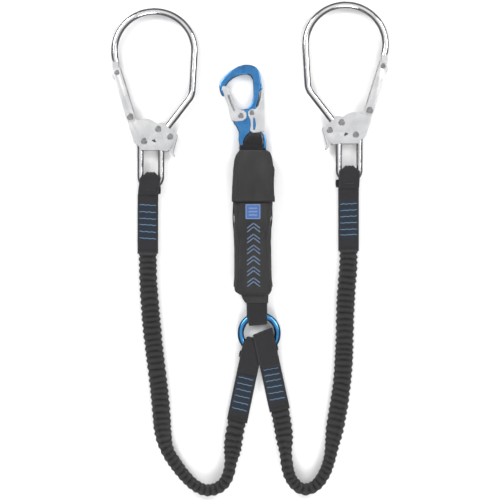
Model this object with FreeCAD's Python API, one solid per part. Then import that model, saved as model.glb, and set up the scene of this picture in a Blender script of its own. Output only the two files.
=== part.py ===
"""Twin-leg shock absorbing lanyard, lying flat.

Millimetres. The floor is z = 0, +Z is up and +Y points from the absorber to its carabiner.
X = 0 is midway between the two scaffold hooks. Each piece is one STEP file in parts/.
"""
import FreeCAD, Part
import math
import os

V = FreeCAD.Vector
UP = V(0, 0, 1)

# ---- webbing ---------------------------------------------------------------------------
WEB_W = 30.0            # width of the load webbing
WEB_T = 2.4             # one ply
LINER_T = 0.8           # wear tape inside a loop
STRAP_Z = 7.4           # mid height of the sewn straps, between the two thick ends

# ---- scaffold hook, about the centre of its bow, mid plane z = 0 -------------------------
BOW_R = 58.5            # bow centreline
ROD_R = 4.7
PLATE_T = 2.0
PLATE_IN = 4.75         # inner face of the body plates, from the mid plane
EAR_IN = 7.1            # inner face of the gate flanges
SHEET_T = 1.6
HEAD_OUT = 10.1         # outer face of the gate rivet heads: the hook rests on them
RIVET_R = 2.5
RUNNING = 0.05          # radial play of a part that turns on a rivet
DOME_R = 0.8            # rounding of a rivet head
GATE_PIVOT = (-34.5, -96.5)
NOSE_PIN = (-54.3, -32.0)
NOSE_PIN_R = 2.3
BODY_RIVET = (6.0, -114.0)
LOWER_RIVET = (-14.7, -131.8)
LEVER_PIVOT = (23.4, -125.3)
BAIL_R = 4.5
BAIL_ARMS = (-20.4, 9.8)
BAIL_TOP, BAIL_BEND = -137.0, -182.9
LOOP_TOP, LOOP_THROAT = -176.5, -213.6
HOOK_Z = HEAD_OUT
HOOKS = {
    "left": {"at": (-139.6, 232.0), "mirrored": False, "strap_x": -149.5, "strap_end": -59.7},
    "right": {"at": (139.6, 241.6), "mirrored": True, "strap_x": 144.2, "strap_end": -56.0},
}

# ---- ring and the straps that hold it ----------------------------------------------------
RING_AT = V(13.4, -180.2, 10.0)
RING_R, RING_ROD_R = 26.9, 4.6
RING_STRAPS = {         # fold, unit lean and length; the right loop lies round the left one
    "left": {"fold": (6.6, -185.8), "lean": -11.75, "length": 121.8, "gap": 4.9, "pinch": 5.0},
    "right": {"fold": (18.3, -176.5), "lean": 12.25, "length": 115.0, "gap": 7.6, "pinch": 0.0},
}
STRAP_OPEN, STRAP_SEWN = 48.0, 57.0     # from the fold to where the plies close and are sewn
ABSORBER_LOOP_X, ABSORBER_LOOP_FOLD = 10.1, -168.5

# ---- ruched elastic legs -----------------------------------------------------------------
LEG_R, LEG_BORE_R, CORE_R = 10.0, 5.3, 5.0
LEG_Z = LEG_R
LEG_ROUTES = {
    "left": [
        (-149.5, -59.7), (-149.5, -95), (-147, -131), (-144.3, -164), (-140.8, -198),
        (-136.6, -232), (-132.6, -265), (-129.4, -298), (-127.2, -328), (-121, -351.5),
        (-109.5, -369.5), (-96.5, -386.5), (-82.5, -401), (-66, -409.5), (-49.5, -407.5),
        (-37.5, -399), (-31, -385), (-28.2, -369), (-25.6, -350),
    ],
    "right": [
        (144.2, -56), (144.2, -82), (141, -114), (139.2, -148), (138.6, -182), (137.4, -216),
        (135.2, -250), (130.6, -282), (125.2, -312), (120.3, -340), (116, -366),
        (107.5, -388.5), (94.5, -404), (78.5, -409), (65, -400.5), (56.5, -385.5),
        (53.4, -369), (51.8, -351), (50.4, -333),
    ],
}
LEG_LAST_RUN = 23.0     # the last run lines up with the strap on the ring

# ---- absorber pouch ----------------------------------------------------------------------
POUCH_X = 4.3
POUCH_TOP, POUCH_BOTTOM = 84.5, -123.4
POUCH_H = 32.0
POUCH_WALL = 2.0
FLAP_END = 11.8
FLAP_IN_W, FLAP_T = 58.2, 1.4
FLAP_Z = 34.2           # underside of the flap's top panel
TAPE_T = 0.9
PACK_W, PACK_LENGTH, PACK_PLIES, PACK_PITCH = 45.0, 128.0, 8, 2.7
PACK_Y, PACK_Z = -17.0, 4.6             # middle of the tear-out pack, and its lowest ply
FILM_T, FILM_EASE = 0.4, 0.3            # clear sleeve round the pack, and its slack
TAIL_Z = 14.0           # mid height of the webbing where it enters the pouch

# ---- carabiner ---------------------------------------------------------------------------
CARA_Z = 8.0
CARA_HALF = 5.0         # half thickness of the forged frame
CARA_EAR_IN, CARA_SHEET = 5.4, 1.2
CARA_HEAD_OUT = 7.9
CARA_RIVET_R = 2.0
CARA_GATE_PIVOT = (-13.2, 137.5)
CARA_LEVER_PIVOT = (2.8, 141.8)
EYE_BAR_Y, EYE_BAR_R = 91.2, 4.2
CARA_LOOP_X, CARA_LOOP_W, CARA_LOOP_FOLD = 4.8, 27.6, 112.5
CARA_TAPE_X, CARA_TAPE_W = 8.4, 12.4

ROUND_SHARE = 0.45      # share of the shorter run that a corner's arc may use
STRAIGHT = 1e-4         # half turns under this, in radians, need no arc


# ---- drawing helpers ---------------------------------------------------------------------
def smooth_edges(points, closed=False, radius=None, report=None):
    """Straight runs joined by tangent arcs, as large as the runs allow or of one radius."""
    corners = [V(*point) for point in points]
    arcs = []
    for i, corner in enumerate(corners):
        if not closed and i in (0, len(corners) - 1):
            arcs.append((corner, None, corner))
            continue
        back = corners[i - 1] - corner
        ahead = corners[(i + 1) % len(corners)] - corner
        half_turn = (math.pi - back.getAngle(ahead)) / 2
        if half_turn < STRAIGHT:
            arcs.append((corner, None, corner))
            continue
        setback = ROUND_SHARE * min(back.Length, ahead.Length)
        if radius is not None:
            setback = min(setback, radius * math.tan(half_turn))
        arc_r = setback / math.tan(half_turn)
        if report is not None:
            report.append(arc_r)
        back.normalize()
        ahead.normalize()
        inward = (back + ahead).normalize()
        middle = corner + inward * (arc_r / math.cos(half_turn) - arc_r)
        arcs.append((corner + back * setback, middle, corner + ahead * setback))
    edges = []
    for i, (start, middle, end) in enumerate(arcs):
        if middle is not None:
            edges.append(Part.Arc(start, middle, end).toShape())
        if closed or i < len(arcs) - 1:
            following = arcs[(i + 1) % len(arcs)][0]
            if end.distanceToPoint(following) > 1e-6:
                edges.append(Part.LineSegment(end, following).toShape())
    return edges


def plate(points, low, high, radius=1.0):
    """A flat piece from a plan outline, its corners rounded."""
    edges = smooth_edges([(x, y, low) for x, y in points], True, radius)
    return Part.Face(Part.Wire(edges)).extrude(V(0, 0, high - low))


def drum(at, radius, low, high):
    """An upright cylinder."""
    return Part.makeCylinder(radius, high - low, V(at[0], at[1], low), UP)


def rod(edges, radius):
    """A round rod along a path of edges."""
    first = edges[0]
    start = first.valueAt(first.FirstParameter)
    section = Part.makeCircle(radius, start, first.tangentAt(first.FirstParameter))
    return Part.Wire(edges).makePipeShell([Part.Wire(section)], True, False)


def rivet(at, radius, head_r, head_in, head_out):
    """A shaft with a head at each end, about the mid plane."""
    shaft = drum(at, radius, -head_in, head_in)
    heads = [drum(at, head_r, head_in, head_out), drum(at, head_r, -head_out, -head_in)]
    heads = [dome_edge(head, head_out) for head in heads]
    return shaft.fuse(heads).removeSplitter()


def dome_edge(head, head_out):
    """Rounds the outer rim of a rivet head."""
    rims = [e for e in head.Edges
            if isinstance(e.Curve, Part.Circle) and abs(abs(e.Curve.Center.z) - head_out) < 1e-6]
    return head.makeFillet(DOME_R, rims)


def coil(at, mean_r, wire_r, half_length, turns):
    """A torsion spring round a rivet, made of half turns that each lie in a tilted plane."""
    half_turns = int(2 * turns)
    rise = 2 * half_length / half_turns
    ends = [V(mean_r * (-1) ** k, 0, k * rise) for k in range(half_turns + 1)]
    edges = []
    for k, (a, b) in enumerate(zip(ends, ends[1:])):
        crown = (a + b) / 2 + V(0, (b - a).Length / 2 * (-1) ** k, 0)
        edges.append(Part.Arc(a, crown, b).toShape())
    spring = rod(edges, wire_r)
    spring.translate(V(at[0], at[1], -half_length))
    return spring


def loop_profile(fold, opening, throat, end, gap, thick, z_loop, z_tail):
    """Side view of webbing that goes out, folds back and is sewn to itself.

    Positions run along the strap: the fold's outer edge is at `fold`, the plies stay parallel
    to `opening`, meet at `throat` and run on together to `end`. Returns a face at x = 0.
    """
    way = 1 if end > fold else -1
    centre = fold + way * (gap + thick)

    def ring_edges(half, tail_points):
        low = [V(0, s, z) for s, z in tail_points]
        points = low + [V(0, opening, z_loop - half), V(0, centre, z_loop - half)]
        tip = V(0, centre - way * half, z_loop)
        back = V(0, centre, z_loop + half)
        edges = [Part.LineSegment(a, b).toShape() for a, b in zip(points, points[1:])]
        edges.append(Part.Arc(points[-1], tip, back).toShape())
        return edges, back

    outer, back = ring_edges(gap + thick, [(end, z_tail - thick), (throat, z_tail - thick)])
    top = [back, V(0, opening, z_loop + gap + thick), V(0, throat, z_tail + thick),
           V(0, end, z_tail + thick), V(0, end, z_tail - thick)]
    outer += [Part.LineSegment(a, b).toShape() for a, b in zip(top, top[1:])]
    crotch = (throat - way * thick, z_tail)
    inner, back = ring_edges(gap, [crotch])
    close = [back, V(0, opening, z_loop + gap), V(0, *crotch)]
    inner += [Part.LineSegment(a, b).toShape() for a, b in zip(close, close[1:])]
    return Part.Face(Part.Wire(outer)), Part.Face(Part.Wire(inner))


def webbing_loop(profile_args, outline):
    """A webbing loop cut to a plan outline, both in the strap's own frame."""
    outer, inner = loop_profile(**profile_args)
    span = 100.0
    solid = outer.extrude(V(span, 0, 0)).cut(inner.extrude(V(span, 0, 0)))
    solid.translate(V(-span / 2, 0, 0))
    return solid.common(plate(outline, -20, 40, radius=2.5))


def loop_liner(fold, opening, gap, z_loop, half_width):
    """Wear tape on the inner face of a loop: two flats and the fold between them."""
    way = 1 if opening > fold else -1
    centre = fold + way * (gap + WEB_T)
    outside, inside = gap - 0.05, gap - 0.05 - LINER_T
    faces = []
    for half in (outside, inside):
        a, b = V(0, opening, z_loop - half), V(0, centre, z_loop - half)
        c, d = V(0, centre, z_loop + half), V(0, opening, z_loop + half)
        edges = [Part.LineSegment(a, b).toShape(),
                 Part.Arc(b, V(0, centre - way * half, z_loop), c).toShape(),
                 Part.LineSegment(c, d).toShape(), Part.LineSegment(d, a).toShape()]
        faces.append(Part.Face(Part.Wire(edges)).extrude(V(2 * half_width, 0, 0)))
    tape = faces[0].cut(faces[1])
    tape.translate(V(-half_width, 0, 0))
    return tape


# ---- scaffold hook -----------------------------------------------------------------------
def hook_bow():
    """The bent rod, with the flat nose that the gate's pin rests against."""
    nose_angle, side_angle = math.radians(195.4), math.radians(-3.3)
    top = math.pi / 2
    ends = [V(BOW_R * math.cos(a), BOW_R * math.sin(a), 0) for a in (nose_angle, top, side_angle)]
    corner, foot = (54.8, -64.7, 0), (17.8, -112.4, 0)
    edges = [Part.Arc(*ends).toShape()]
    edges += smooth_edges([tuple(ends[2]), corner, foot], radius=22)
    nose = plate([(-61.0, -13.5), (-52.3, -13.5), (-52.1, -26.0), (-57.0, -27.5),
                  (-57.0, -37.5), (-60.4, -37.5), (-61.2, -26.0)], -3.6, 3.6, radius=1.0)
    return rod(edges, ROD_R).fuse(nose)


PLATE_OUTLINE = [
    (-24.1, -101.5), (-13.7, -99.3), (-7.9, -99.5), (-2.6, -101.5), (1.9, -104.7),
    (5.1, -106.3), (9.8, -104.4), (13.7, -105.4), (17.5, -108.0), (22.2, -113.3),
    (28.0, -117.1), (31.5, -121.3), (31.0, -126.0), (28.0, -135.3), (22.5, -143.0),
    (18.8, -146.4), (6.4, -144.8), (-18.3, -144.8), (-24.1, -137.4), (-29.3, -134.0),
    (-33.9, -118.4), (-36.2, -113.3), (-36.5, -107.3), (-40.4, -98.0), (-37.5, -91.5),
    (-31.5, -91.3), (-28.4, -96.5),
]
WINDOW_OUTLINE = [(-4.2, -130.8), (0.6, -128.2), (3.2, -134.5)]


def hook_plate(low, high):
    """One pressed body plate with its rivet holes and the small window."""
    body = plate(PLATE_OUTLINE, low, high, radius=2.5)
    for at in (GATE_PIVOT, BODY_RIVET, LOWER_RIVET, LEVER_PIVOT):
        body = body.cut(drum(at, RIVET_R, low - 1, high + 1))
    return body.cut(plate(WINDOW_OUTLINE, low - 1, high + 1, radius=0.6))


def hook_bail():
    """The U-shaped rod that the webbing is sewn round."""
    left, right = BAIL_ARMS
    bend_r = (right - left) / 2
    a, b = V(left, BAIL_TOP, 0), V(left, BAIL_BEND, 0)
    c, d = V(right, BAIL_BEND, 0), V(right, BAIL_TOP, 0)
    bottom = V((left + right) / 2, BAIL_BEND - bend_r, 0)
    edges = [Part.LineSegment(a, b).toShape(), Part.Arc(b, bottom, c).toShape(),
             Part.LineSegment(c, d).toShape()]
    return rod(edges, BAIL_R)


def hook_gate():
    """Folded channel: two flanges outside the plates, a web on the inner side."""
    pivot, pin = V(*GATE_PIVOT, 0), V(*NOSE_PIN, 0)
    axis = (pin - pivot).normalize()
    across = V(axis.y, -axis.x, 0)
    ear_r, web_start = 6.5, 10.0

    def spot(u, v):
        point = pivot + axis * u + across * v
        return (point.x, point.y)

    outline = [(-62.0, -24.5), (-49.8, -24.5), spot(0, ear_r), spot(0, -ear_r),
               (-57.0, -41.5), (-62.2, -37.5)]
    top = spot(73.3, ear_r)
    web = [top, spot(web_start, ear_r), spot(web_start, ear_r - SHEET_T),
           spot(73.3, ear_r - SHEET_T)]
    outer = EAR_IN + SHEET_T
    gate = plate(web, -outer, outer, radius=0.2)
    for low, high in ((EAR_IN, outer), (-outer, -EAR_IN)):
        flange = plate(outline, low, high, radius=2.0).fuse(drum(GATE_PIVOT, ear_r, low, high))
        gate = gate.fuse(flange)
    gate = gate.cut(drum(GATE_PIVOT, RIVET_R + RUNNING, -outer - 1, outer + 1))
    gate = gate.cut(drum(NOSE_PIN, NOSE_PIN_R, -outer - 1, outer + 1))
    return gate.removeSplitter()


LEVER_OUTLINE = [
    (-2.0, -123.5), (18.0, -123.0), (19.0, -120.6), (22.0, -118.6), (27.0, -118.5),
    (33.9, -121.3), (33.9, -124.2), (30.7, -135.3), (27.4, -146.4), (30.0, -152.6),
    (28.4, -154.2), (24.0, -148.5), (21.5, -146.0), (20.5, -134.0), (17.5, -128.5),
    (-2.0, -128.0),
]


def hook_lever():
    """Squeeze lever between the plates, folded so that its back stands proud of them."""
    half = PLATE_IN - 0.4
    lever = plate(LEVER_OUTLINE, -half, half, radius=1.0)
    hollow = plate(LEVER_OUTLINE, SHEET_T - half, half - SHEET_T, radius=1.0)
    hollow.translate(V(-2.4, 0, 0))
    return lever.cut(hollow).cut(drum(LEVER_PIVOT, RIVET_R + RUNNING, -half - 1, half + 1))


def hook_loop(throat_x):
    """The webbing folded round the bail, as far as the flexible throat."""
    centre_x = sum(BAIL_ARMS) / 2
    gap = BAIL_R + 0.3 + LINER_T + 0.1
    tail_z = STRAP_Z - HOOK_Z
    shape = {"fold": LOOP_TOP, "opening": -204.0, "throat": LOOP_THROAT + 2.0,
             "end": LOOP_THROAT + 0.3, "gap": gap, "thick": WEB_T, "z_loop": 0.0,
             "z_tail": tail_z}
    half, pinched = WEB_W / 2, 7.6
    outline = [(centre_x - pinched, LOOP_TOP + 1), (centre_x + pinched, LOOP_TOP + 1),
               (centre_x + pinched + 0.8, -183.5), (centre_x + half, -190.0),
               (throat_x + half, LOOP_THROAT + 0.3), (throat_x - half, LOOP_THROAT + 0.3),
               (centre_x - half, -190.0), (centre_x - pinched - 0.8, -183.5)]
    loop = webbing_loop(shape, outline)
    liner = loop_liner(LOOP_TOP, -203.0, gap, 0.0, pinched - 0.8)
    liner.translate(V(centre_x, 0, 0))
    return loop, liner


def build_hook(side):
    """All the pieces of one hook, by node name, in place."""
    place = HOOKS[side]
    throat_x = place["strap_x"] - place["at"][0]
    if place["mirrored"]:
        throat_x = -throat_x
    loop, liner = hook_loop(throat_x)
    plate_out = PLATE_IN + PLATE_T
    ear_out = EAR_IN + SHEET_T
    spacers = [drum(at, 4.0, -PLATE_IN, PLATE_IN).cut(drum(at, RIVET_R, -PLATE_IN, PLATE_IN))
               for at in (BODY_RIVET, LOWER_RIVET)]
    body_rivets = [rivet(at, RIVET_R, 4.6, plate_out, plate_out + 1.5)
                   for at in (BODY_RIVET, LOWER_RIVET)]
    pieces = {
        "hook_bow": hook_bow(),
        "hook_front_plate": hook_plate(PLATE_IN, plate_out),
        "hook_back_plate": hook_plate(-plate_out, -PLATE_IN),
        "hook_bail": hook_bail(),
        "hook_body_rivets": Part.makeCompound(body_rivets),
        "hook_spacers": Part.makeCompound(spacers),
        "gate": hook_gate(),
        "gate_pivot_rivet": rivet(GATE_PIVOT, RIVET_R, 5.0, ear_out + 0.2, HEAD_OUT),
        "gate_nose_pin": rivet(NOSE_PIN, NOSE_PIN_R, 3.8, ear_out, ear_out + 1.2),
        "gate_spring": coil(GATE_PIVOT, 3.7, 0.6, 3.0, 4),
        "lock_lever": hook_lever(),
        "lever_pivot_rivet": rivet(LEVER_PIVOT, RIVET_R, 4.6, plate_out, plate_out + 1.5),
        "lever_spring": coil(LEVER_PIVOT, 3.4, 0.5, 1.9, 3),
        "hook_loop": loop,
        "loop_wear_tape": liner,
    }
    placed = {}
    for name, shape in pieces.items():
        if place["mirrored"]:
            shape = shape.mirror(V(0, 0, 0), V(1, 0, 0))
        shape.translate(V(*place["at"], HOOK_Z))
        placed[f"{side}_{name}"] = shape
    return placed


# ---- legs --------------------------------------------------------------------------------
def hook_strap(side):
    """The sewn double webbing between the hook's loop and the elastic leg."""
    place = HOOKS[side]
    top = place["at"][1] + LOOP_THROAT - 0.3
    length = top - place["strap_end"]
    corner = V(place["strap_x"] - WEB_W / 2, place["strap_end"], STRAP_Z - WEB_T)
    return Part.makeBox(WEB_W, length, 2 * WEB_T, corner)


def strap_direction(side):
    """Unit vector from the ring along a leg's strap."""
    lean = math.radians(RING_STRAPS[side]["lean"])
    return V(math.sin(lean), -math.cos(lean), 0)


def ring_strap(side):
    """The webbing folded round the ring and sewn, as far as the elastic leg."""
    strap = RING_STRAPS[side]
    shape = {"fold": 0.0, "opening": -STRAP_OPEN, "throat": -STRAP_SEWN,
             "end": -strap["length"], "gap": strap["gap"], "thick": WEB_T,
             "z_loop": RING_AT.z, "z_tail": STRAP_Z}
    half = WEB_W / 2
    outline = [(strap["pinch"] - half, 1), (half, 1), (half, -strap["length"]),
               (-half, -strap["length"]), (-half, -15)]
    solid = webbing_loop(shape, outline)
    solid.rotate(V(0, 0, 0), UP, strap["lean"])
    solid.translate(V(*strap["fold"], 0))
    return solid


def leg_points(side):
    """The leg's route: hook strap, down, round the bend and up to the ring strap."""
    strap = RING_STRAPS[side]
    way = strap_direction(side)
    end = V(*strap["fold"], 0) + way * strap["length"]
    last = end + way * LEG_LAST_RUN
    return LEG_ROUTES[side] + [(last.x, last.y), (end.x, end.y)]


def leg_pieces(side):
    """The ruched tubular webbing and the elastic band inside it."""
    points = [(x, y, LEG_Z) for x, y in leg_points(side)]
    radii = []
    path = smooth_edges(points, report=radii)
    length = sum(edge.Length for edge in path)
    sleeve = rod(path, LEG_R).cut(rod(path, LEG_BORE_R))
    core = rod(path, CORE_R)
    expected = math.pi * (LEG_R ** 2 - LEG_BORE_R ** 2) * length
    print(side, "leg length", round(length, 1), "radii", [round(r) for r in radii])
    print(side, "volume over section times length", round(sleeve.Volume / expected, 4))
    return sleeve, core


# ---- absorber ----------------------------------------------------------------------------
POUCH_SIDES = [         # y, left x, right x: full at the top, waisted, full again at the foot
    (POUCH_TOP, -24.0, 32.6), (10.0, -24.6, 32.6), (-12.0, -24.8, 32.1), (-32.0, -23.0, 29.9),
    (-70.0, -22.3, 30.3), (-98.0, -22.3, 30.6), (-112.0, -23.0, 32.8), (-117.0, -22.8, 32.0),
    (POUCH_BOTTOM, -13.0, 27.4),
]


def pouch_outline(inset):
    """Plan outline of the pouch, moved in by an inset."""
    rows = [(min(max(y, POUCH_BOTTOM + inset), POUCH_TOP - inset), left + inset, right - inset)
            for y, left, right in POUCH_SIDES]
    return [(right, y) for y, _, right in rows] + [(left, y) for y, left, _ in reversed(rows)]


def pouch_shell():
    """Fabric case, hollow, with a slot for the webbing at each end."""
    shell = plate(pouch_outline(0), 0, POUCH_H, radius=6.0)
    rims = [e for e in shell.Edges
            if abs(e.BoundBox.ZMax - e.BoundBox.ZMin) < 1e-6 and e.Length > 1.0]
    shell = soften(shell, rims, (5.0, 3.5, 2.4, 1.6))
    inner = plate(pouch_outline(POUCH_WALL), POUCH_WALL, POUCH_H - POUCH_WALL, radius=4.0)
    shell = shell.cut(inner)
    mouth = Part.makeBox(CARA_LOOP_W + 1, 12, 13.8,
                         V(CARA_LOOP_X - CARA_LOOP_W / 2 - 0.5, POUCH_TOP - 8, 2.4))
    foot = Part.makeBox(WEB_W + 0.6, 12, 2 * WEB_T + 0.6,
                        V(ABSORBER_LOOP_X - WEB_W / 2 - 0.3, POUCH_BOTTOM - 4,
                          TAIL_Z - WEB_T - 0.3))
    return shell.cut(mouth).cut(foot)


def flap():
    """Cover over the upper half of the pouch: a front panel with two side panels."""
    half = FLAP_IN_W / 2
    top = POUCH_TOP - 0.4
    outer = Part.makeBox(2 * (half + FLAP_T), top - FLAP_END, FLAP_Z + FLAP_T - 16,
                         V(POUCH_X - half - FLAP_T, FLAP_END, 16))
    inner = Part.makeBox(2 * half, top - FLAP_END + 2, FLAP_Z - 15,
                         V(POUCH_X - half, FLAP_END - 1, 15))
    shape = outer.cut(inner)
    rims = [e for e in shape.Edges
            if e.BoundBox.YLength > 50 and abs(e.BoundBox.ZMax - FLAP_Z - FLAP_T) < 1e-6]
    return shape.makeFillet(1.2, rims)


def tear_pack():
    """The tear-out webbing, folded to and fro into a flat pack."""
    left = POUCH_X - PACK_W / 2
    start = PACK_Y - PACK_LENGTH / 2
    turn_out, turn_in = (PACK_PITCH + WEB_T) / 2, (PACK_PITCH - WEB_T) / 2
    pack = []
    for ply in range(PACK_PLIES):
        z = PACK_Z + ply * PACK_PITCH
        pack.append(Part.makeBox(PACK_W, PACK_LENGTH, WEB_T, V(left, start, z)))
        if ply == PACK_PLIES - 1:
            break
        at_far_end = ply % 2 == 0
        y = start + PACK_LENGTH if at_far_end else start
        axis_at = V(left, y, z + turn_out)
        bend = Part.makeCylinder(turn_out, PACK_W, axis_at, V(1, 0, 0))
        bend = bend.cut(Part.makeCylinder(turn_in, PACK_W, axis_at, V(1, 0, 0)))
        side = Part.makeBox(PACK_W, 10, 10, V(left, y if at_far_end else y - 10, axis_at.z - 5))
        pack.append(bend.common(side))
    return pack[0].fuse(pack[1:]).removeSplitter()


def sleeve_round(box, margin, length):
    """A block round the pack's section with a margin, centred on its length."""
    corner = V(box.XMin - margin, PACK_Y - length / 2, box.ZMin - margin)
    return Part.makeBox(box.XLength + 2 * margin, length, box.ZLength + 2 * margin, corner)


def absorber_pieces():
    """Pouch, flap, tapes, label and what the pouch holds."""
    front = POUCH_H
    pack = tear_pack()
    box = pack.BoundBox
    backup = Part.makeBox(PACK_W - 8, PACK_LENGTH + 10, 1.2,
                          V(POUCH_X - PACK_W / 2 + 4, box.YMin + 4, box.ZMax + 0.9))
    film = sleeve_round(box, FILM_EASE + FILM_T, PACK_LENGTH - 12)
    film = film.cut(sleeve_round(box, FILM_EASE, PACK_LENGTH))
    tape_at = V(POUCH_X - 22, FLAP_END + 3, front)
    emblem_w = 21.6
    return {
        "pouch_shell": pouch_shell(),
        "pouch_flap": flap(),
        "loop_tape": Part.makeBox(44, 22, TAPE_T, tape_at),
        "hook_tape": Part.makeBox(44, 22, TAPE_T, tape_at + V(0, 0, FLAP_Z - front - TAPE_T)),
        "id_label": Part.makeBox(34, 30, 0.5, V(POUCH_X - 17, 44, front)),
        "tear_webbing": pack,
        "backup_webbing": backup,
        "pack_film": film,
        "emblem_patch": plate([(POUCH_X - emblem_w / 2, -13.7), (POUCH_X + emblem_w / 2, -13.7),
                               (POUCH_X + emblem_w / 2, 7.9), (POUCH_X - emblem_w / 2, 7.9)],
                              front, front + 0.6, radius=1.0),
    }


def absorber_ring_loop():
    """Webbing from the pouch, round the top of the ring."""
    shape = {"fold": ABSORBER_LOOP_FOLD, "opening": -147.0, "throat": -126.0,
             "end": POUCH_BOTTOM + 14, "gap": 4.9, "thick": WEB_T,
             "z_loop": RING_AT.z, "z_tail": TAIL_Z}
    half = WEB_W / 2
    x = ABSORBER_LOOP_X
    outline = [(x - half + 3, -170), (x + half, -170), (x + half, POUCH_BOTTOM + 14),
               (x - half, POUCH_BOTTOM + 14), (x - half, -152), (x - half + 3, -160)]
    return webbing_loop(shape, outline)


def carabiner_loop():
    """Webbing from the pouch, through the carabiner's eye and back, with its wear tape."""
    gap = EYE_BAR_R + 0.4 + LINER_T + 0.1
    shape = {"fold": CARA_LOOP_FOLD, "opening": 89.0, "throat": 70.0, "end": 60.0, "gap": gap,
             "thick": WEB_T, "z_loop": CARA_Z, "z_tail": TAIL_Z}
    left, right = CARA_LOOP_X - CARA_LOOP_W / 2, CARA_LOOP_X + CARA_LOOP_W / 2
    outline = [(left, 58), (right, 58), (right, 103), (right - 0.6, 107), (right - 3.4, 113.5),
               (left + 12.2, 114), (left + 3.1, 103.4), (left + 0.4, 96), (left, 93)]
    loop = webbing_loop(shape, outline)
    liner = loop_liner(CARA_LOOP_FOLD, 90.0, gap, CARA_Z, CARA_TAPE_W / 2)
    liner.translate(V(CARA_TAPE_X, 0, 0))
    return loop, liner


# ---- carabiner ---------------------------------------------------------------------------
FRAME_OUTLINE = [
    (-44.9, 176.0), (-44.9, 181.8), (-42.0, 188.3), (-35.6, 196.7), (-28.1, 203.2),
    (-18.8, 209.2), (-8.5, 212.4), (0.5, 212.2), (8.4, 209.2), (13.3, 203.2), (15.5, 195.0),
    (16.1, 186.4), (13.8, 174.0), (11.9, 161.3), (9.1, 152.0), (11.5, 146.0), (13.5, 134.0),
    (13.8, 121.5), (17.6, 113.3), (22.7, 108.2), (23.9, 101.5), (23.4, 91.2), (19.2, 91.2), (19.6, 100.7), (18.6, 108.8), (13.5, 115.8),
    (3.0, 116.0), (-4.2, 109.5), (-8.8, 102.2), (-10.2, 96.0), (-10.2, 91.2), (-15.0, 91.2),
    (-15.6, 97.0), (-17.0, 103.0), (-16.2, 112.9), (-19.4, 121.3), (-24.0, 127.0),
    (-25.6, 134.5), (-21.0, 143.5), (-12.5, 146.6), (-3.9, 148.0), (0.8, 152.6), (3.8, 159.4),
    (5.0, 168.8), (4.8, 179.9), (4.2, 190.4), (1.0, 196.7), (-5.5, 199.3), (-15.1, 197.5),
    (-24.3, 193.4), (-31.8, 187.3), (-35.4, 181.5), (-36.2, 176.0),
]
NOSE_OUTLINE = [(-44.4, 178.0), (-43.9, 173.0), (-40.6, 166.5), (-37.8, 166.5), (-36.4, 178.0)]
BARB_OUTLINE = [(12.5, 187.0), (15.9, 186.8), (18.4, 177.8), (15.7, 174.6), (12.8, 175.0)]


def carabiner_frame():
    """Forged open frame with an eye whose lower bar is round, so that it turns in the webbing."""
    frame = plate(FRAME_OUTLINE, -CARA_HALF, CARA_HALF, radius=6.0)
    rims = [e for e in frame.Edges if abs(e.BoundBox.ZMax - e.BoundBox.ZMin) < 1e-6]
    rims = [e for e in rims if e.BoundBox.YMax > EYE_BAR_Y + 1]
    frame = soften(frame, rims, (3.2, 2.6, 2.0, 1.4, 0.8))
    for outline in (NOSE_OUTLINE, BARB_OUTLINE):
        frame = frame.fuse(plate(outline, -3.6, 3.6, radius=1.0))
    across = V(1, 0, 0)
    for low, high in ((-15.0, -10.2), (19.2, 23.4)):
        at = V(low, EYE_BAR_Y, 0)
        frame = frame.fuse(Part.makeCylinder(CARA_HALF, high - low, at, across))
    bar = Part.makeCylinder(EYE_BAR_R, 32.0, V(-11.5, EYE_BAR_Y, 0), across)
    frame = frame.fuse(bar)
    for at in (CARA_GATE_PIVOT, CARA_LEVER_PIVOT):
        frame = frame.cut(drum(at, CARA_RIVET_R, -CARA_HALF - 1, CARA_HALF + 1))
        frame = frame.cut(drum(at, 4.6, -2.2, 2.2))
    return frame


def soften(shape, rims, radii):
    """Rounds a set of edges with the largest of the radii that the shape takes."""
    for radius in radii:
        try:
            rounded = shape.makeFillet(radius, rims)
        except Part.OCCError:
            continue
        if rounded.isValid() and len(rounded.Solids) == 1:
            print("rounded by", radius)
            return rounded
    return shape


def channel(outline, back, pivot, holes):
    """Two flanges outside the carabiner's frame, joined by a back across them."""
    outer = CARA_EAR_IN + CARA_SHEET
    shape = plate(back, -outer, outer, radius=0.3)
    for low, high in ((CARA_EAR_IN, outer), (-outer, -CARA_EAR_IN)):
        flange = plate(outline, low, high, radius=3.0)
        for hole in holes:
            flange = flange.cut(plate(hole, low - 1, high + 1, radius=1.6))
        shape = shape.fuse(flange)
    bore = drum(pivot, CARA_RIVET_R + RUNNING, -outer - 1, outer + 1)
    return shape.cut(bore).removeSplitter()


def carabiner_gate():
    """Sheet gate that straddles the nose and the foot of the frame."""
    outline = [(-41.9, 180.7), (-34.1, 180.7), (-30.9, 177.1), (-28.1, 168.8), (-19.6, 149.2),
               (-15.5, 146.2), (-9.5, 145.6), (-5.2, 141.0), (-5.4, 134.0), (-10.4, 130.4),
               (-20.7, 129.2), (-27.0, 131.0), (-28.9, 137.0), (-31.8, 152.0), (-37.4, 166.9)]
    slot = [(-33.4, 167.4), (-30.4, 168.6), (-20.9, 144.6), (-23.9, 143.4)]
    back = [(-30.9, 176.9), (-28.1, 168.8), (-21.0, 152.4), (-22.3, 151.8), (-29.4, 168.3),
            (-32.1, 176.4)]
    return channel(outline, back, CARA_GATE_PIVOT, [slot])


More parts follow.
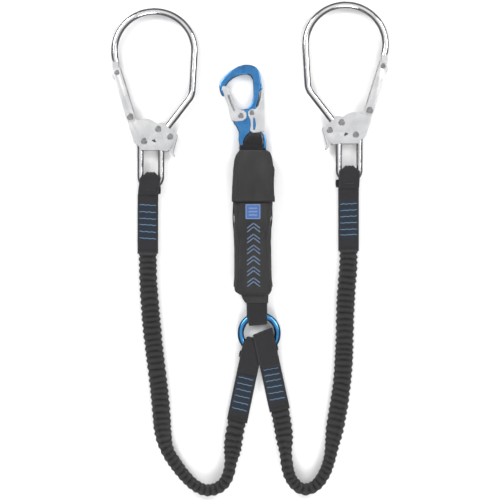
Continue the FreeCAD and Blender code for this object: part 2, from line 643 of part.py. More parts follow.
def carabiner_lever():
    """Grip lever along the spine, squeezed towards it to free the gate."""
    outline = [(16.9, 175.6), (18.9, 176.0), (20.8, 161.3), (21.2, 142.6), (21.2, 118.4),
               (19.8, 115.0), (5.5, 112.9), (-0.2, 115.6), (1.4, 124.0), (0.6, 132.0),
               (-2.4, 138.0), (-2.6, 143.6), (2.6, 147.4), (8.4, 147.2), (12.2, 152.0),
               (15.6, 163.0)]
    slot = [(4.6, 136.0), (7.4, 133.6), (8.9, 124.0), (7.6, 116.8), (4.4, 116.8), (4.4, 126.0)]
    back = [(18.2, 170.6), (19.5, 170.8), (20.8, 161.3), (21.2, 142.6), (21.2, 118.4),
            (19.9, 118.4), (19.9, 142.6), (19.5, 161.3)]
    return channel(outline, back, CARA_LEVER_PIVOT, [slot])


def carabiner_pieces():
    """The carabiner's own pieces, about its mid plane, then lifted to its height."""
    head_in = CARA_EAR_IN + CARA_SHEET + 0.15
    pieces = {
        "carabiner_frame": carabiner_frame(),
        "carabiner_gate": carabiner_gate(),
        "carabiner_gate_rivet": rivet(CARA_GATE_PIVOT, CARA_RIVET_R, 4.0, head_in, CARA_HEAD_OUT),
        "carabiner_gate_spring": coil(CARA_GATE_PIVOT, 3.1, 0.5, 1.5, 2.5),
        "carabiner_lever": carabiner_lever(),
        "carabiner_lever_rivet": rivet(CARA_LEVER_PIVOT, CARA_RIVET_R, 3.6, head_in,
                                       CARA_HEAD_OUT),
        "carabiner_lever_spring": coil(CARA_LEVER_PIVOT, 3.1, 0.5, 1.5, 2.5),
    }
    for shape in pieces.values():
        shape.translate(V(0, 0, CARA_Z))
    return pieces


# ---- whole lanyard -----------------------------------------------------------------------
def build():
    """Every node of the lanyard, by name."""
    nodes = {}
    for side in HOOKS:
        nodes.update(build_hook(side))
        nodes[f"{side}_hook_strap"] = hook_strap(side)
        nodes[f"{side}_ring_strap"] = ring_strap(side)
        sleeve, core = leg_pieces(side)
        nodes[f"{side}_leg_sleeve"] = sleeve
        nodes[f"{side}_leg_core"] = core
    nodes.update(carabiner_pieces())
    nodes["carabiner_loop"], nodes["carabiner_wear_tape"] = carabiner_loop()
    nodes.update(absorber_pieces())
    nodes["absorber_ring_loop"] = absorber_ring_loop()
    nodes["connecting_ring"] = Part.makeTorus(RING_R, RING_ROD_R, RING_AT, UP)
    return nodes


if __name__ == "__main__":
    os.makedirs("parts", exist_ok=True)
    built = build()
    for name, shape in built.items():
        shape.exportStep(f"parts/{name}.step")
    print(len(built), "nodes")
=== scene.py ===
"""Looks of the twin-leg shock absorbing lanyard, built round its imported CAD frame.

Blender units are metres. Sizes below are in millimetres and go through MM.
"""
import math
import random

import bmesh
import bpy
import numpy as np
from mathutils import Matrix, Vector, noise
from mathutils.bvhtree import BVHTree


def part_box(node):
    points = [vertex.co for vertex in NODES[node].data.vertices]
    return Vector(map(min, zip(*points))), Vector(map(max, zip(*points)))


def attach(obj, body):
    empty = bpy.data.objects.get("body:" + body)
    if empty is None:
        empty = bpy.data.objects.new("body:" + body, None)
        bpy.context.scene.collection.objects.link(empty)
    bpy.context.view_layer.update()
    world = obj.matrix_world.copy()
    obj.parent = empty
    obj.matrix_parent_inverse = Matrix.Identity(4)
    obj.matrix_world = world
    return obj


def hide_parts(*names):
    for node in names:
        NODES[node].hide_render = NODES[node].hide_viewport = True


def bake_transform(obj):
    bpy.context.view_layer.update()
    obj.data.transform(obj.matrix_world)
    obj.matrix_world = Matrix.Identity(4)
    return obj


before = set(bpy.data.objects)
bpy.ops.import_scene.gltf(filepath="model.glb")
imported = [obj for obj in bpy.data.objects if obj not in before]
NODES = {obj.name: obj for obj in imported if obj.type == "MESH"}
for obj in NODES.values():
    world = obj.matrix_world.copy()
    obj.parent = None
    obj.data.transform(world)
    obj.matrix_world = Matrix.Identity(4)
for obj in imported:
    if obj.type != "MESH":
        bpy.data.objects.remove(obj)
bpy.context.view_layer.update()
MM = 0.001
SIDES = ("left", "right")

# ---- driving sizes, millimetres -----------------------------------------------------------
WEB_W, WEB_T = 30.0, 2.3          # load webbing: width and one ply
LEG_W, LEG_T = 27.0, 17.0         # ruched leg: width and thickness over the gathers
GATHER_PITCH = 8.7
STRAP_Z = 7.4                     # mid height of the sewn straps
FLOOR_GAP = 0.0002                # metres that a leg is kept above the floor
THREAD_R = 0.42

# Route of each elastic leg: hook strap, down, round the bend on its edge, up to the ring.
LEG_ROUTES = {
    "left": [
        (-149.5, -59.7, 8), (-149.5, -95, 8), (-147, -131, 8), (-144.3, -164, 8),
        (-140.8, -198, 8), (-136.6, -232, 8), (-132.6, -265, 8), (-129.4, -298, 9),
        (-127.2, -328, 11), (-121, -351.5, 12), (-109.5, -369.5, 13), (-96.5, -386.5, 13),
        (-82.5, -401, 13), (-66, -409.5, 13), (-49.5, -407.5, 13), (-37.5, -399, 13),
        (-31, -385, 13), (-28.2, -369, 13), (-25.6, -350, 12), (-22.9, -327.5, 9),
        (-18.2, -305, 8),
    ],
    "right": [
        (144.2, -56, 8), (144.2, -82, 8), (141, -114, 8), (139.2, -148, 8), (138.6, -182, 8),
        (137.4, -216, 8), (135.2, -250, 8), (130.6, -282, 9), (125.2, -312, 11),
        (120.3, -340, 12), (116, -366, 13), (107.5, -388.5, 13), (94.5, -404, 13),
        (78.5, -409, 13), (65, -400.5, 13), (56.5, -385.5, 13), (53.4, -369, 13),
        (51.8, -351, 12), (50.4, -333, 11), (47.6, -311.4, 9), (42.7, -288.9, 8),
    ],
}
# Share of the leg's length, and how far it is turned on its edge there, in degrees.
LEG_TWIST = {
    "left": [(0, 0), (0.42, 6), (0.50, 30), (0.60, 78), (0.72, 90), (0.86, 80), (0.93, 25), (1, 0)],
    "right": [(0, 0), (0.42, -8), (0.50, -30), (0.62, -80), (0.74, -90), (0.86, -74),
              (0.93, -22), (1, 0)],
}

random.seed(7)


# ---- mesh helpers -------------------------------------------------------------------------
def link(name, mesh):
    """A new object in the scene."""
    piece = bpy.data.objects.new(name, mesh)
    bpy.context.scene.collection.objects.link(piece)
    return piece


def surface(name, rows, closed=True, caps=True, uv=None, values=None):
    """A piece from rows of points, all of one length: rings when closed, strips when open.

    uv holds (across, along) in metres for each column and row. values are per point.
    """
    count, width = len(rows), len(rows[0])
    points = [tuple(p) for row in rows for p in row]
    faces, corners = [], []
    columns = width if closed else width - 1
    for i in range(count - 1):
        for j in range(columns):
            k = (j + 1) % width
            faces.append((i * width + j, i * width + k, (i + 1) * width + k, (i + 1) * width + j))
            corners.append(((i, j), (i, j + 1), (i + 1, j + 1), (i + 1, j)))
    if closed and caps:
        for i, flip in ((0, True), (count - 1, False)):
            ring = [i * width + j for j in range(width)]
            faces.append(tuple(reversed(ring)) if flip else tuple(ring))
            columns = range(width - 1, -1, -1) if flip else range(width)
            corners.append(tuple((i, j) for j in columns))
    mesh = bpy.data.meshes.new(name)
    mesh.from_pydata(points, [], faces)
    if uv is not None:
        across, along = uv
        layer = mesh.uv_layers.new(name="weave")
        flat = [c for face in corners for c in face]
        layer.data.foreach_set("uv", [v for i, j in flat for v in (across[j], along[i])])
    if values is not None:
        # the shade attribute holds painted groove shade on the ruched legs and the sewn tint zone on
        # the straps
        mark = mesh.attributes.new("shade", "FLOAT", "POINT")
        mark.data.foreach_set("value", np.asarray(values, np.float32).ravel())
    mesh.validate()
    mesh.shade_smooth()
    return link(name, mesh)


def smooth_line(points, step):
    """Even samples of a Catmull-Rom curve through the points."""
    p = [Vector(q) for q in points]
    p = [p[0] * 2 - p[1]] + p + [p[-1] * 2 - p[-2]]
    dense = []
    for a, b, c, d in zip(p, p[1:], p[2:], p[3:]):
        for k in range(24):
            t = k / 24
            dense.append(0.5 * ((2 * b) + (c - a) * t + (2 * a - 5 * b + 4 * c - d) * t * t
                                + (3 * b - a - 3 * c + d) * t * t * t))
    dense.append(p[-2])
    return even(dense, step)


def even(line, step):
    """The same line with points a step apart."""
    line = np.array([tuple(q) for q in line])
    run = np.concatenate([[0], np.cumsum(np.linalg.norm(np.diff(line, axis=0), axis=1))])
    count = max(3, int(round(run[-1] / step)) + 1)
    at = np.linspace(0, run[-1], count)
    return [Vector([np.interp(t, run, line[:, k]) for k in range(3)]) for t in at]


def ease(pairs, t):
    """Smooth steps between (position, value) pairs."""
    for (a, va), (b, vb) in zip(pairs, pairs[1:]):
        if t <= b:
            u = min(max((t - a) / (b - a), 0), 1)
            return va + (vb - va) * u * u * (3 - 2 * u)
    return pairs[-1][1]


def tangents(line):
    """Unit direction of a line at each of its points."""
    ahead = line[1:] + [line[-1] * 2 - line[-2]]
    back = [line[0] * 2 - line[1]] + line[:-1]
    return [(a - b).normalized() for a, b in zip(ahead, back)]


def join(name, pieces):
    """One piece out of several."""
    merged = bmesh.new()
    for piece in pieces:
        merged.from_mesh(piece.data)
        bpy.data.objects.remove(piece)
    mesh = bpy.data.meshes.new(name)
    merged.to_mesh(mesh)
    merged.free()
    return link(name, mesh)


def applied(piece):
    """The piece with its modifiers made real."""
    depsgraph = bpy.context.evaluated_depsgraph_get()
    mesh = bpy.data.meshes.new_from_object(piece.evaluated_get(depsgraph))
    piece.modifiers.clear()
    piece.data = mesh
    return piece


# ---- materials ----------------------------------------------------------------------------
class Finish:
    """Builds one procedural material."""

    def __init__(self, name, color, rough, metal=0.0, **extra):
        self.material = bpy.data.materials.new(name)
        self.material.use_nodes = True
        self.tree = self.material.node_tree
        self.shader = self.tree.nodes["Principled BSDF"]
        self.color = (*color, 1)
        self.set(**{"Base Color": self.color, "Roughness": rough, "Metallic": metal})
        self.set(**{key.replace("_", " "): value for key, value in extra.items()})
        self.height = None
        self.strength = 0.0

    def set(self, **inputs):
        for key, value in inputs.items():
            self.shader.inputs[key].default_value = value

    def node(self, kind, **settings):
        node = self.tree.nodes.new(kind)
        for key, value in settings.items():
            if key in node.inputs:
                node.inputs[key].default_value = value
            else:
                setattr(node, key, value)
        return node

    def wire(self, a, out, b, into):
        self.tree.links.new(a.outputs[out], b.inputs[into])

    def place(self, kind, scale):
        """Coordinates of a kind, scaled: weave is the piece's own UV in metres."""
        if kind == "weave":
            source, out = self.node("ShaderNodeUVMap", uv_map="weave"), "UV"
        else:
            source, out = self.node("ShaderNodeTexCoord"), kind
        mapping = self.node("ShaderNodeMapping", Scale=scale)
        self.wire(source, out, mapping, "Vector")
        return mapping

    def noise(self, kind, scale, detail=3.0, stretch=(1, 1, 1)):
        texture = self.node("ShaderNodeTexNoise", Scale=scale, Detail=detail)
        self.wire(self.place(kind, stretch), "Vector", texture, "Vector")
        return texture, "Fac"

    def wave(self, kind, scale, direction, warp=0.0):
        texture = self.node("ShaderNodeTexWave", Scale=scale, Distortion=warp,
                            bands_direction=direction)
        self.wire(self.place(kind, (1, 1, 1)), "Vector", texture, "Vector")
        return texture, "Fac"

    def mix(self, source, low, high, into="Base Color", spread=(0.3, 0.7)):
        """A colour or number that runs from low to high as a texture goes over a spread."""
        ramp = self.node("ShaderNodeMapRange")
        ramp.inputs["From Min"].default_value, ramp.inputs["From Max"].default_value = spread
        self.wire(*source, ramp, "Value")
        if isinstance(low, tuple):
            blend = self.node("ShaderNodeMix", data_type="RGBA")
            blend.inputs["A"].default_value = blend.inputs[6].default_value = (*low, 1)
            blend.inputs[7].default_value = (*high, 1)
            self.tree.links.new(ramp.outputs["Result"], blend.inputs[0])
            self.tree.links.new(blend.outputs[2], self.shader.inputs[into])
            return blend
        ramp.inputs["To Min"].default_value, ramp.inputs["To Max"].default_value = low, high
        self.wire(ramp, "Result", self.shader, into)
        return ramp

    def add(self, a, b, weight=1.0, operation="ADD"):
        """Two textures as one height."""
        scaled = self.node("ShaderNodeMath", operation="MULTIPLY")
        self.wire(*b, scaled, 0)
        scaled.inputs[1].default_value = weight
        total = self.node("ShaderNodeMath", operation=operation)
        self.wire(*a, total, 0)
        self.wire(scaled, "Value", total, 1)
        return total, "Value"

    def bump(self, source, depth, strength=1.0):
        """Relief, depth in metres."""
        bump = self.node("ShaderNodeBump", Strength=strength, Distance=depth)
        self.wire(*source, bump, "Height")
        self.wire(bump, "Normal", self.shader, "Normal")
        return self.material


def attribute(finish, name):
    """A value stored on the mesh."""
    return finish.node("ShaderNodeAttribute", attribute_name=name), "Fac"


def webbing(name, dark, light, rib=620.0, tint=None):
    """Woven load webbing: lengthwise ribs crossed by the weft, and fuzz."""
    finish = Finish(name, light, 0.86, Sheen_Weight=0.12, Sheen_Roughness=0.45,
                    Specular_IOR_Level=0.25)
    ribs = finish.wave("weave", rib, "X", 0.4)
    weft = finish.wave("weave", rib * 0.72, "Y", 0.8)
    weave = finish.add(ribs, weft, 0.6)
    fuzz = finish.noise("weave", 900, 4)
    height = finish.add(weave, fuzz, 0.5)
    finish.mix(height, dark, light, spread=(0.3, 1.6))
    if tint is not None:
        mixed = finish.shader.inputs["Base Color"].links[0].from_socket
        zone = attribute(finish, "shade")
        blend = finish.node("ShaderNodeMix", data_type="RGBA")
        finish.tree.links.new(zone[0].outputs["Fac"], blend.inputs[0])
        finish.tree.links.new(mixed, blend.inputs[6])
        blend.inputs[7].default_value = (*tint, 1)
        finish.tree.links.new(blend.outputs[2], finish.shader.inputs["Base Color"])
    return finish.bump(height, 0.0004, 0.8)


def ruched():
    """Gathered tubular webbing: painted shade darkens the grooves, ribs along its length."""
    finish = Finish("ruched_webbing", (0.05, 0.05, 0.052), 0.9, Sheen_Weight=0.12,
                    Sheen_Roughness=0.5, Specular_IOR_Level=0.2)
    ridge = attribute(finish, "shade")
    fuzz = finish.noise("weave", 520, 5)
    tone = finish.add(ridge, fuzz, 0.5)
    # painted shade: near black in the grooves of the gathers, lighter on their crests
    finish.mix(tone, (0.0035, 0.0035, 0.004), (0.040, 0.040, 0.042), spread=(0.42, 1.22))
    ribs = finish.wave("weave", 700, "X", 1.2)
    weft = finish.wave("weave", 560, "Y", 1.5)
    return finish.bump(finish.add(finish.add(ribs, weft, 0.7), fuzz, 1.0), 0.0004, 0.8)


def pouch_cloth(name, dark, light):
    """Coated plain-weave fabric with soft creases, and painted shade darkening the valleys between
    them.
    """
    finish = Finish(name, light, 0.78, Sheen_Weight=0.10, Sheen_Roughness=0.5,
                    Specular_IOR_Level=0.28)
    warp = finish.wave("Object", 900, "X", 0.3)
    weft = finish.wave("Object", 900, "Y", 0.3)
    weave = finish.add(warp, weft, 1.0)
    crease_relief_and_shade = finish.noise("Object", 38, 4, (1, 0.5, 1))
    # painted shade: dark in the sunken valleys of the creases, light on their tops
    finish.mix(crease_relief_and_shade, dark, light, spread=(0.3, 0.72))
    return finish.bump(finish.add(crease_relief_and_shade, weave, 0.10), 0.0022, 0.55)


def plated_steel():
    """Satin zinc plate: cloudy tone, fine grain, small handling marks."""
    finish = Finish("plated_steel", (0.70, 0.70, 0.71), 0.3, 1.0)
    cloud = finish.noise("Object", 60, 5)
    finish.mix(cloud, (0.60, 0.61, 0.63), (0.76, 0.76, 0.76))
    grain = finish.noise("Object", 700, 3, (1, 6, 1))
    finish.mix(grain, 0.22, 0.4, "Roughness")
    return finish.bump(finish.add(grain, cloud, 2.0), 0.00012, 0.35)


def polished_rod():
    """Drawn rod, polished, with a few scuffs."""
    finish = Finish("polished_rod", (0.84, 0.84, 0.85), 0.14, 1.0)
    scuff = finish.noise("Object", 240, 5, (1, 1, 1))
    finish.mix(scuff, 0.10, 0.26, "Roughness", (0.35, 0.75))
    cloud = finish.noise("Object", 45, 3)
    finish.mix(cloud, (0.74, 0.74, 0.76), (0.88, 0.88, 0.88))
    return finish.bump(scuff, 0.00006, 0.3)


def anodised(name, deep, light):
    """Blue anodised aluminium: tumbled grain under the colour, lighter and deeper blue in soft clouds.
    """
    finish = Finish(name, light, 0.27, 1.0, Coat_Weight=0.25, Coat_Roughness=0.15)
    cloud = finish.noise("Object", 70, 4)
    finish.mix(cloud, deep, light)
    grain = finish.noise("Object", 1100, 3)
    finish.mix(grain, 0.24, 0.36, "Roughness")
    return finish.bump(grain, 0.00008, 0.4)


def thread(name, dark, light):
    """Twisted sewing thread."""
    finish = Finish(name, light, 0.55, Sheen_Weight=0.3, Specular_IOR_Level=0.45)
    twist = finish.noise("Object", 1500, 3, (1, 1, 1))
    finish.mix(twist, dark, light)
    return finish.bump(twist, 0.0001, 0.6)


def plain(name, dark, light, rough, scale=300.0, metal=0.0, depth=0.0001, **extra):
    """A simple finish with its own grain and tone."""
    finish = Finish(name, light, rough, metal, **extra)
    grain = finish.noise("Object", scale, 4)
    finish.mix(grain, dark, light)
    return finish.bump(grain, depth, 0.6)


def make_materials():
    """Every finish of the lanyard, by slot-like name."""
    blue_deep, blue_light = (0.035, 0.17, 0.42), (0.075, 0.27, 0.56)
    return {
        "webbing": webbing("black_webbing", (0.010, 0.010, 0.011), (0.042, 0.041, 0.045),
                           tint=(0.019, 0.034, 0.056)),
        "ruched": ruched(),
        # the dark colours of both cloths are painted shade in the valleys of their creases
        "cloth": pouch_cloth("pouch_cloth", (0.021, 0.021, 0.021), (0.036, 0.035, 0.036)),
        "flap_cloth": pouch_cloth("flap_cloth", (0.024, 0.024, 0.024), (0.038, 0.038, 0.037)),
        "binding": webbing("edge_binding", (0.010, 0.010, 0.011), (0.038, 0.037, 0.041), 900.0),
        "steel": plated_steel(),
        "rod": polished_rod(),
        "spring": plain("spring_steel", (0.3, 0.3, 0.32), (0.5, 0.5, 0.52), 0.35, 500, 1.0),
        "blue": anodised("blue_anodised", blue_deep, blue_light),
        "ring_blue": anodised("ring_anodised", (0.04, 0.2, 0.46), (0.09, 0.32, 0.62)),
        "blue_thread": thread("blue_thread", (0.075, 0.155, 0.27), (0.18, 0.30, 0.44)),
        "black_thread": thread("black_thread", (0.012, 0.012, 0.013), (0.05, 0.05, 0.052)),
        "tape": plain("wear_tape", (0.012, 0.012, 0.013), (0.035, 0.035, 0.037), 0.7, 600),
        "hook_loop": plain("hook_and_loop", (0.008, 0.008, 0.008), (0.05, 0.05, 0.05), 0.95,
                           1600, depth=0.0008),
        "label": plain("blank_label", (0.6, 0.6, 0.58), (0.78, 0.78, 0.76), 0.6, 700),
        "tear": plain("tear_webbing", (0.4, 0.37, 0.28), (0.62, 0.58, 0.48), 0.85, 500),
        "film": plain("clear_film", (0.6, 0.62, 0.64), (0.8, 0.8, 0.82), 0.2, 60,
                      Alpha=0.45),
        "print_blue": plain("print_blue", (0.03, 0.085, 0.25), (0.05, 0.12, 0.33), 0.6, 420),
        "print_lines": plain("print_lines", (0.07, 0.115, 0.20), (0.12, 0.18, 0.28), 0.6, 420),
        "rivet": plain("riveted_steel", (0.20, 0.20, 0.21), (0.36, 0.36, 0.37), 0.34, 260, 1.0),
        "print_pale": plain("print_pale", (0.10, 0.175, 0.35), (0.14, 0.22, 0.42), 0.55, 420),
    }


# ---- legs ---------------------------------------------------------------------------------
def route_line(points, name):
    """The smooth line of a cord's route, read from its NURBS spline."""
    curve = bpy.data.curves.new(name, "CURVE")
    curve.dimensions = "3D"
    curve.resolution_u = 32
    spline = curve.splines.new("NURBS")
    spline.points.add(len(points) - 1)
    for point, place in zip(spline.points, points):
        point.co = (*[v * MM for v in place], 1)
    spline.order_u = 3
    spline.use_endpoint_u = True
    holder = link(name, curve)
    bpy.context.view_layer.update()
    mesh = bpy.data.meshes.new_from_object(holder)
    line = [v.co.copy() for v in mesh.vertices]
    bpy.data.objects.remove(holder)
    return line


def ruched_leg(side, finish):
    """Tubular webbing gathered on its elastic core, turned on edge round the bend."""
    line = even(route_line(LEG_ROUTES[side], f"{side}_leg_route"), 0.85 * MM)
    way = tangents(line)
    count, around = len(line), 44
    seed = 11.0 if side == "left" else 47.0
    rows, shade_and_tint_values = [], []
    lag, gathers = 0.0, []
    for i in range(count):                      # gathers differ a little in length
        lag += 1 + 0.32 * noise.noise(Vector((i * 0.031, seed, 0)))
        gathers.append(lag * 0.85 / GATHER_PITCH)
    for i, (p, t) in enumerate(zip(line, way)):
        share = i / (count - 1)
        from_end = min(i, count - 1 - i) * 0.85
        body = min(from_end / 9.0, 1.0)         # the tube closes on the flat strap at each end
        body = body * body * (3 - 2 * body)
        turn = math.radians(ease(LEG_TWIST[side], share))
        across = t.cross(Vector((0, 0, 1))).normalized()
        lift = across.cross(t).normalized()
        a_dir = across * math.cos(turn) + lift * math.sin(turn)
        b_dir = lift * math.cos(turn) - across * math.sin(turn)
        wander = 0.6 * noise.noise(Vector((i * 0.012, 3.1, seed)))
        half_w = (LEG_W / 2 + wander) * (0.97 + 0.05 * body)
        half_t = 3.0 + (LEG_T / 2 - 3.0 + 0.5 * wander) * body
        row = []
        for j in range(around):
            angle = 2 * math.pi * j / around
            c, s = math.cos(angle), math.sin(angle)
            edge = abs(c) ** 3
            stir = noise.noise(Vector((c * 1.3, s * 1.3, i * 0.045 + seed)))
            gather = gathers[i] + 0.16 * stir + 0.07 * s + 0.05 * c
            strong = 0.8 + 0.4 * noise.noise(Vector((math.floor(gather) * 1.7, seed + s, 5)))
            phase = math.pi * gather
            ridge = abs(math.sin(phase)) ** 0.5
            drop = (2.5 + 1.1 * edge) * strong * (1 - ridge) * body
            x = math.copysign(abs(c) ** 0.82, c) * (half_w - drop)
            y = math.copysign(abs(s) ** 0.66, s) * (half_t - drop)
            roll = 1.0 * math.sin(2 * phase) * body
            row.append(p + (a_dir * x + b_dir * y + t * roll) * MM)
            # painted groove shade: the crest share, low in a groove, darkens the colour there; the
            # flat ends get 0.75
            shade_and_tint_values.append(ridge if body > 0.3 else 0.75)
        rows.append(row)
    low = min(q.z for row in rows for q in row)
    if low < 0:
        rows = [[Vector((q.x, q.y, max(q.z, FLOOR_GAP))) for q in row] for row in rows]
    girth = [j * 0.075 / around for j in range(around + 1)]
    run = [i * 0.85 * MM * 1.6 for i in range(count)]
    leg = surface(f"{side}_ruched_leg", rows, uv=(girth, run), values=shade_and_tint_values)
    leg.data.materials.append(finish)
    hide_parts(f"{side}_leg_sleeve", f"{side}_leg_core")
    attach(leg, "root")
    return leg


CARABINER_Z = 8.0
CARABINER_LOOP_ROWS = [   # y, left x, right x of the webbing through the carabiner's eye
    (112.6, 2.6, 15.0), (110.0, -0.4, 16.4), (105.0, -4.6, 17.6), (100.0, -8.0, 18.2),
    (94.0, -9.4, 18.6), (60.0, -9.4, 18.6),
]


# ---- flat webbing -------------------------------------------------------------------------
def webbing_rows(line, side_way, widths, thick, pleats):
    """Rings of a strip of webbing: flat, with rounded selvedges, gathered where it is pinched."""
    columns = 17
    rows = []
    way = tangents(line)
    for i, (p, t) in enumerate(zip(line, way)):
        normal = side_way.cross(t).normalized()
        half = widths[i] / 2
        gather = pleats[i]
        top, bottom = [], []
        for j in range(columns):
            u = -1 + 2 * j / (columns - 1)
            round_off = math.sqrt(max(0.0, 1 - abs(u) ** 14))
            wave = gather * math.cos(u * math.pi * 2.5)
            ply = thick / 2 * (0.25 + 0.75 * round_off) * (1 + 0.10 * (abs(u) > 0.86))
            centre = p + side_way * (u * half * MM) + normal * (wave * MM)
            top.append(centre + normal * (ply * MM))
            bottom.append(centre - normal * (ply * MM))
        rows.append(top + bottom[::-1])
    return rows


def webbing_piece(name, line, side_way, widths, pleats, shade_and_tint_values=None, thick=WEB_T):
    """A strip of webbing as a mesh with its weave laid along it."""
    rows = webbing_rows(line, side_way, widths, thick, pleats)
    width = len(rows[0])
    half = width // 2
    across = [WEB_W * MM * (j / (half - 1) if j < half else (width - 1 - j) / (half - 1))
              for j in range(width)] + [0.0]
    run, along = 0.0, [0.0]
    for a, b in zip(line, line[1:]):
        run += (b - a).length
        along.append(run)
    values = None
    if shade_and_tint_values is not None:
        inside = [1 - abs(2 * (j % half) / (half - 1) - 1) ** 5 for j in range(width)]
        values = [s * share for s in shade_and_tint_values for share in inside]
    return surface(name, rows, uv=(across, along), values=values)


def folded_path(fold, opening, throat, end, radius, z_loop, z_up, z_low):
    """Distances and heights of a strap: up from its end, round the fold and back under."""
    centre = fold - radius
    path = [(end, z_up), ((end + throat) / 2, z_up), (throat, z_up),
            (throat + (opening - throat) * 0.35, z_up + (z_loop + radius - z_up) * 0.22),
            (opening, z_loop + radius - 0.6), ((opening + centre) / 2, z_loop + radius)]
    for k in range(7):
        turn = math.pi * (0.5 - k / 6)
        path.append((centre + radius * math.cos(turn), z_loop + radius * math.sin(turn)))
    path += [((opening + centre) / 2, z_loop - radius), (opening, z_loop - radius + 0.6),
             (throat + (opening - throat) * 0.35, z_low + (z_loop - radius - z_low) * 0.22),
             (throat, z_low), ((end + throat) / 2, z_low), (end, z_low)]
    return path


def in_zone(y, zone, soft=2.0):
    """1 inside a stretch and 0 outside it, with soft ends."""
    low, high = zone
    return min(max((y - low) / soft + 0.5, 0), 1) * min(max((high - y) / soft + 0.5, 0), 1)


def tack_rows(name, origin, side_way, along, starts, width, z_top, z_bottom, slant, finish):
    """Bar tacks: rows of close short stitches across a strap, on both of its faces."""
    beads = bmesh.new()
    pitch = 1.15
    count = int(width / pitch)
    for row, start in enumerate(starts):
        for k in range(count):
            u = (k + 0.5) / count - 0.5
            sway = 0.35 * math.sin(k * 0.9 + row) + random.uniform(-0.12, 0.12)
            middle = (origin + side_way * (u * width * MM)
                      + along * ((start + slant * u + sway) * MM))
            lean = 0.5 if k % 2 else -0.5
            for z, sign in ((z_top, 1), (z_bottom, -1)):
                spin = Matrix.Rotation(math.atan2(side_way.y, side_way.x) + lean * 0.5, 4, "Z")
                size = Matrix.Diagonal((0.95 * MM, THREAD_R * 1.25 * MM, THREAD_R * MM, 1))
                place = Matrix.Translation((middle.x, middle.y, z * MM + sign * 0.15 * MM))
                bmesh.ops.create_uvsphere(beads, u_segments=8, v_segments=5, radius=1.0,
                                          matrix=place @ spin @ size)
    mesh = bpy.data.meshes.new(name)
    beads.to_mesh(mesh)
    beads.free()
    mesh.shade_smooth()
    piece = link(name, mesh)
    piece.data.materials.append(finish)
    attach(piece, "root")
    return piece


LOOP_ARCH = [             # from the top of the loop, and how wide the webbing is there
    (0.0, 8.0), (1.0, 12.0), (2.5, 15.5), (4.2, 18.8), (5.4, 22.0), (6.8, 27.0), (8.6, 30.6),
    (14.0, 30.6), (22.0, WEB_W),
]


def hook_webbing(side, mats):
    """One strip: the sewn strap, the loop round the bail and back, blended at the throat."""
    low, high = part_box(f"{side}_hook_strap")
    loop_low, loop_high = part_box(f"{side}_hook_loop")
    _, bail_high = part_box(f"{side}_hook_bail")
    bail_low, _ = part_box(f"{side}_hook_bail")
    strap_x = (low[0] + high[0]) / 2
    loop_x = (bail_low[0] + bail_high[0]) / 2
    end, throat = low[1] / MM, high[1] / MM
    fold = loop_high[1] / MM - WEB_T / 2
    z_loop = (loop_low[2] + loop_high[2]) / 2 / MM
    radius = (loop_high[2] - loop_low[2]) / 2 / MM - WEB_T / 2 - 0.1
    profile = folded_path(fold, throat + 11, throat + 1.0, end - 4, radius, z_loop,
                          STRAP_Z + WEB_T / 2, STRAP_Z - WEB_T / 2)
    points = []
    for y, z in profile:
        u = min(max((y - throat) / 30, 0), 1)
        points.append((strap_x + (loop_x - strap_x) * u, y * MM, z * MM))
    line = smooth_line(points, 1.2 * MM)
    widths, pleats, shade_and_tint_values = [], [], []
    stitched = (end + 15, end + 70)
    for p in line:
        y = p.y / MM
        from_fold = fold + WEB_T / 2 - y
        widths.append(float(np.interp(from_fold, *zip(*LOOP_ARCH))))
        pleats.append(0.35 * ease([(3.0, 1.0), (8.0, 0.0)], from_fold))
        shade_and_tint_values.append(0.6 * in_zone(y, stitched, 4.0))
    across = Vector((1, 0, 0))
    strap = webbing_piece(f"{side}_hook_webbing", line, across, widths, pleats, shade_and_tint_values)
    strap.data.materials.append(mats["webbing"])
    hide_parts(f"{side}_hook_strap", f"{side}_hook_loop")
    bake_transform(strap)
    away = 1 if side == "left" else -1
    slit = stitch_run(f"{side}_loop_tack",
                      [Vector((loop_x + k * MM, bail_low[1] - 0.6 * MM, 17.9 * MM))
                       for k in (-6, 6)],
                      0.9, 0.55, mats["black_thread"])
    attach(slit, f"{side}_hook")
    wear_sleeve(f"{side}_loop_sleeve", Vector((strap_x + away * 3.6 * MM, (throat + 5.5) * MM, 0)),
                across, Vector((0, 1, 0)), 31.4, 11.5, 9.4, f"{side}_hook", mats)
    rows = ([18.4, 28.1, 38.1, 47.2, 56.9, 67.1] if side == "left"
            else [20.1, 28.0, 37.6, 46.9, 55.9, 65.2])
    origin = Vector((strap_x, end * MM, 0))
    tack_rows(f"{side}_hook_bar_tacks", origin, across, Vector((0, 1, 0)), rows, 24.0,
              STRAP_Z + WEB_T, STRAP_Z - WEB_T, -1.6 if side == "left" else 1.2,
              mats["blue_thread"])
    return strap


RING_LOOPS = {
    "left": {"fold": (6.6, -185.8), "lean": -11.75, "length": 121.8, "gap": 4.9, "pinch": 4.0,
             "slant": 0.09, "tab": (-1.9, 27.5), "tacks": (61.5, 70.4, 79.3, 88.8, 98.0, 107.5)},
    "right": {"fold": (18.3, -176.5), "lean": 12.25, "length": 115.0, "gap": 7.6, "pinch": 0.0,
              "slant": 0.16, "tab": (1.9, 27.0), "tacks": (57.0, 65.5, 74.0, 83.2, 92.2, 101.5)},
}


def slant_fold(strap, fold, across, down, slope, reach):
    """Slides the folded end along the strap more at one edge, so that the fold lies aslant."""
    for vertex in strap.data.vertices:
        way = vertex.co - fold
        share = min(max(1 - way.dot(down) / (reach * MM), 0), 1)
        vertex.co -= down * (way.dot(across) * slope * share)


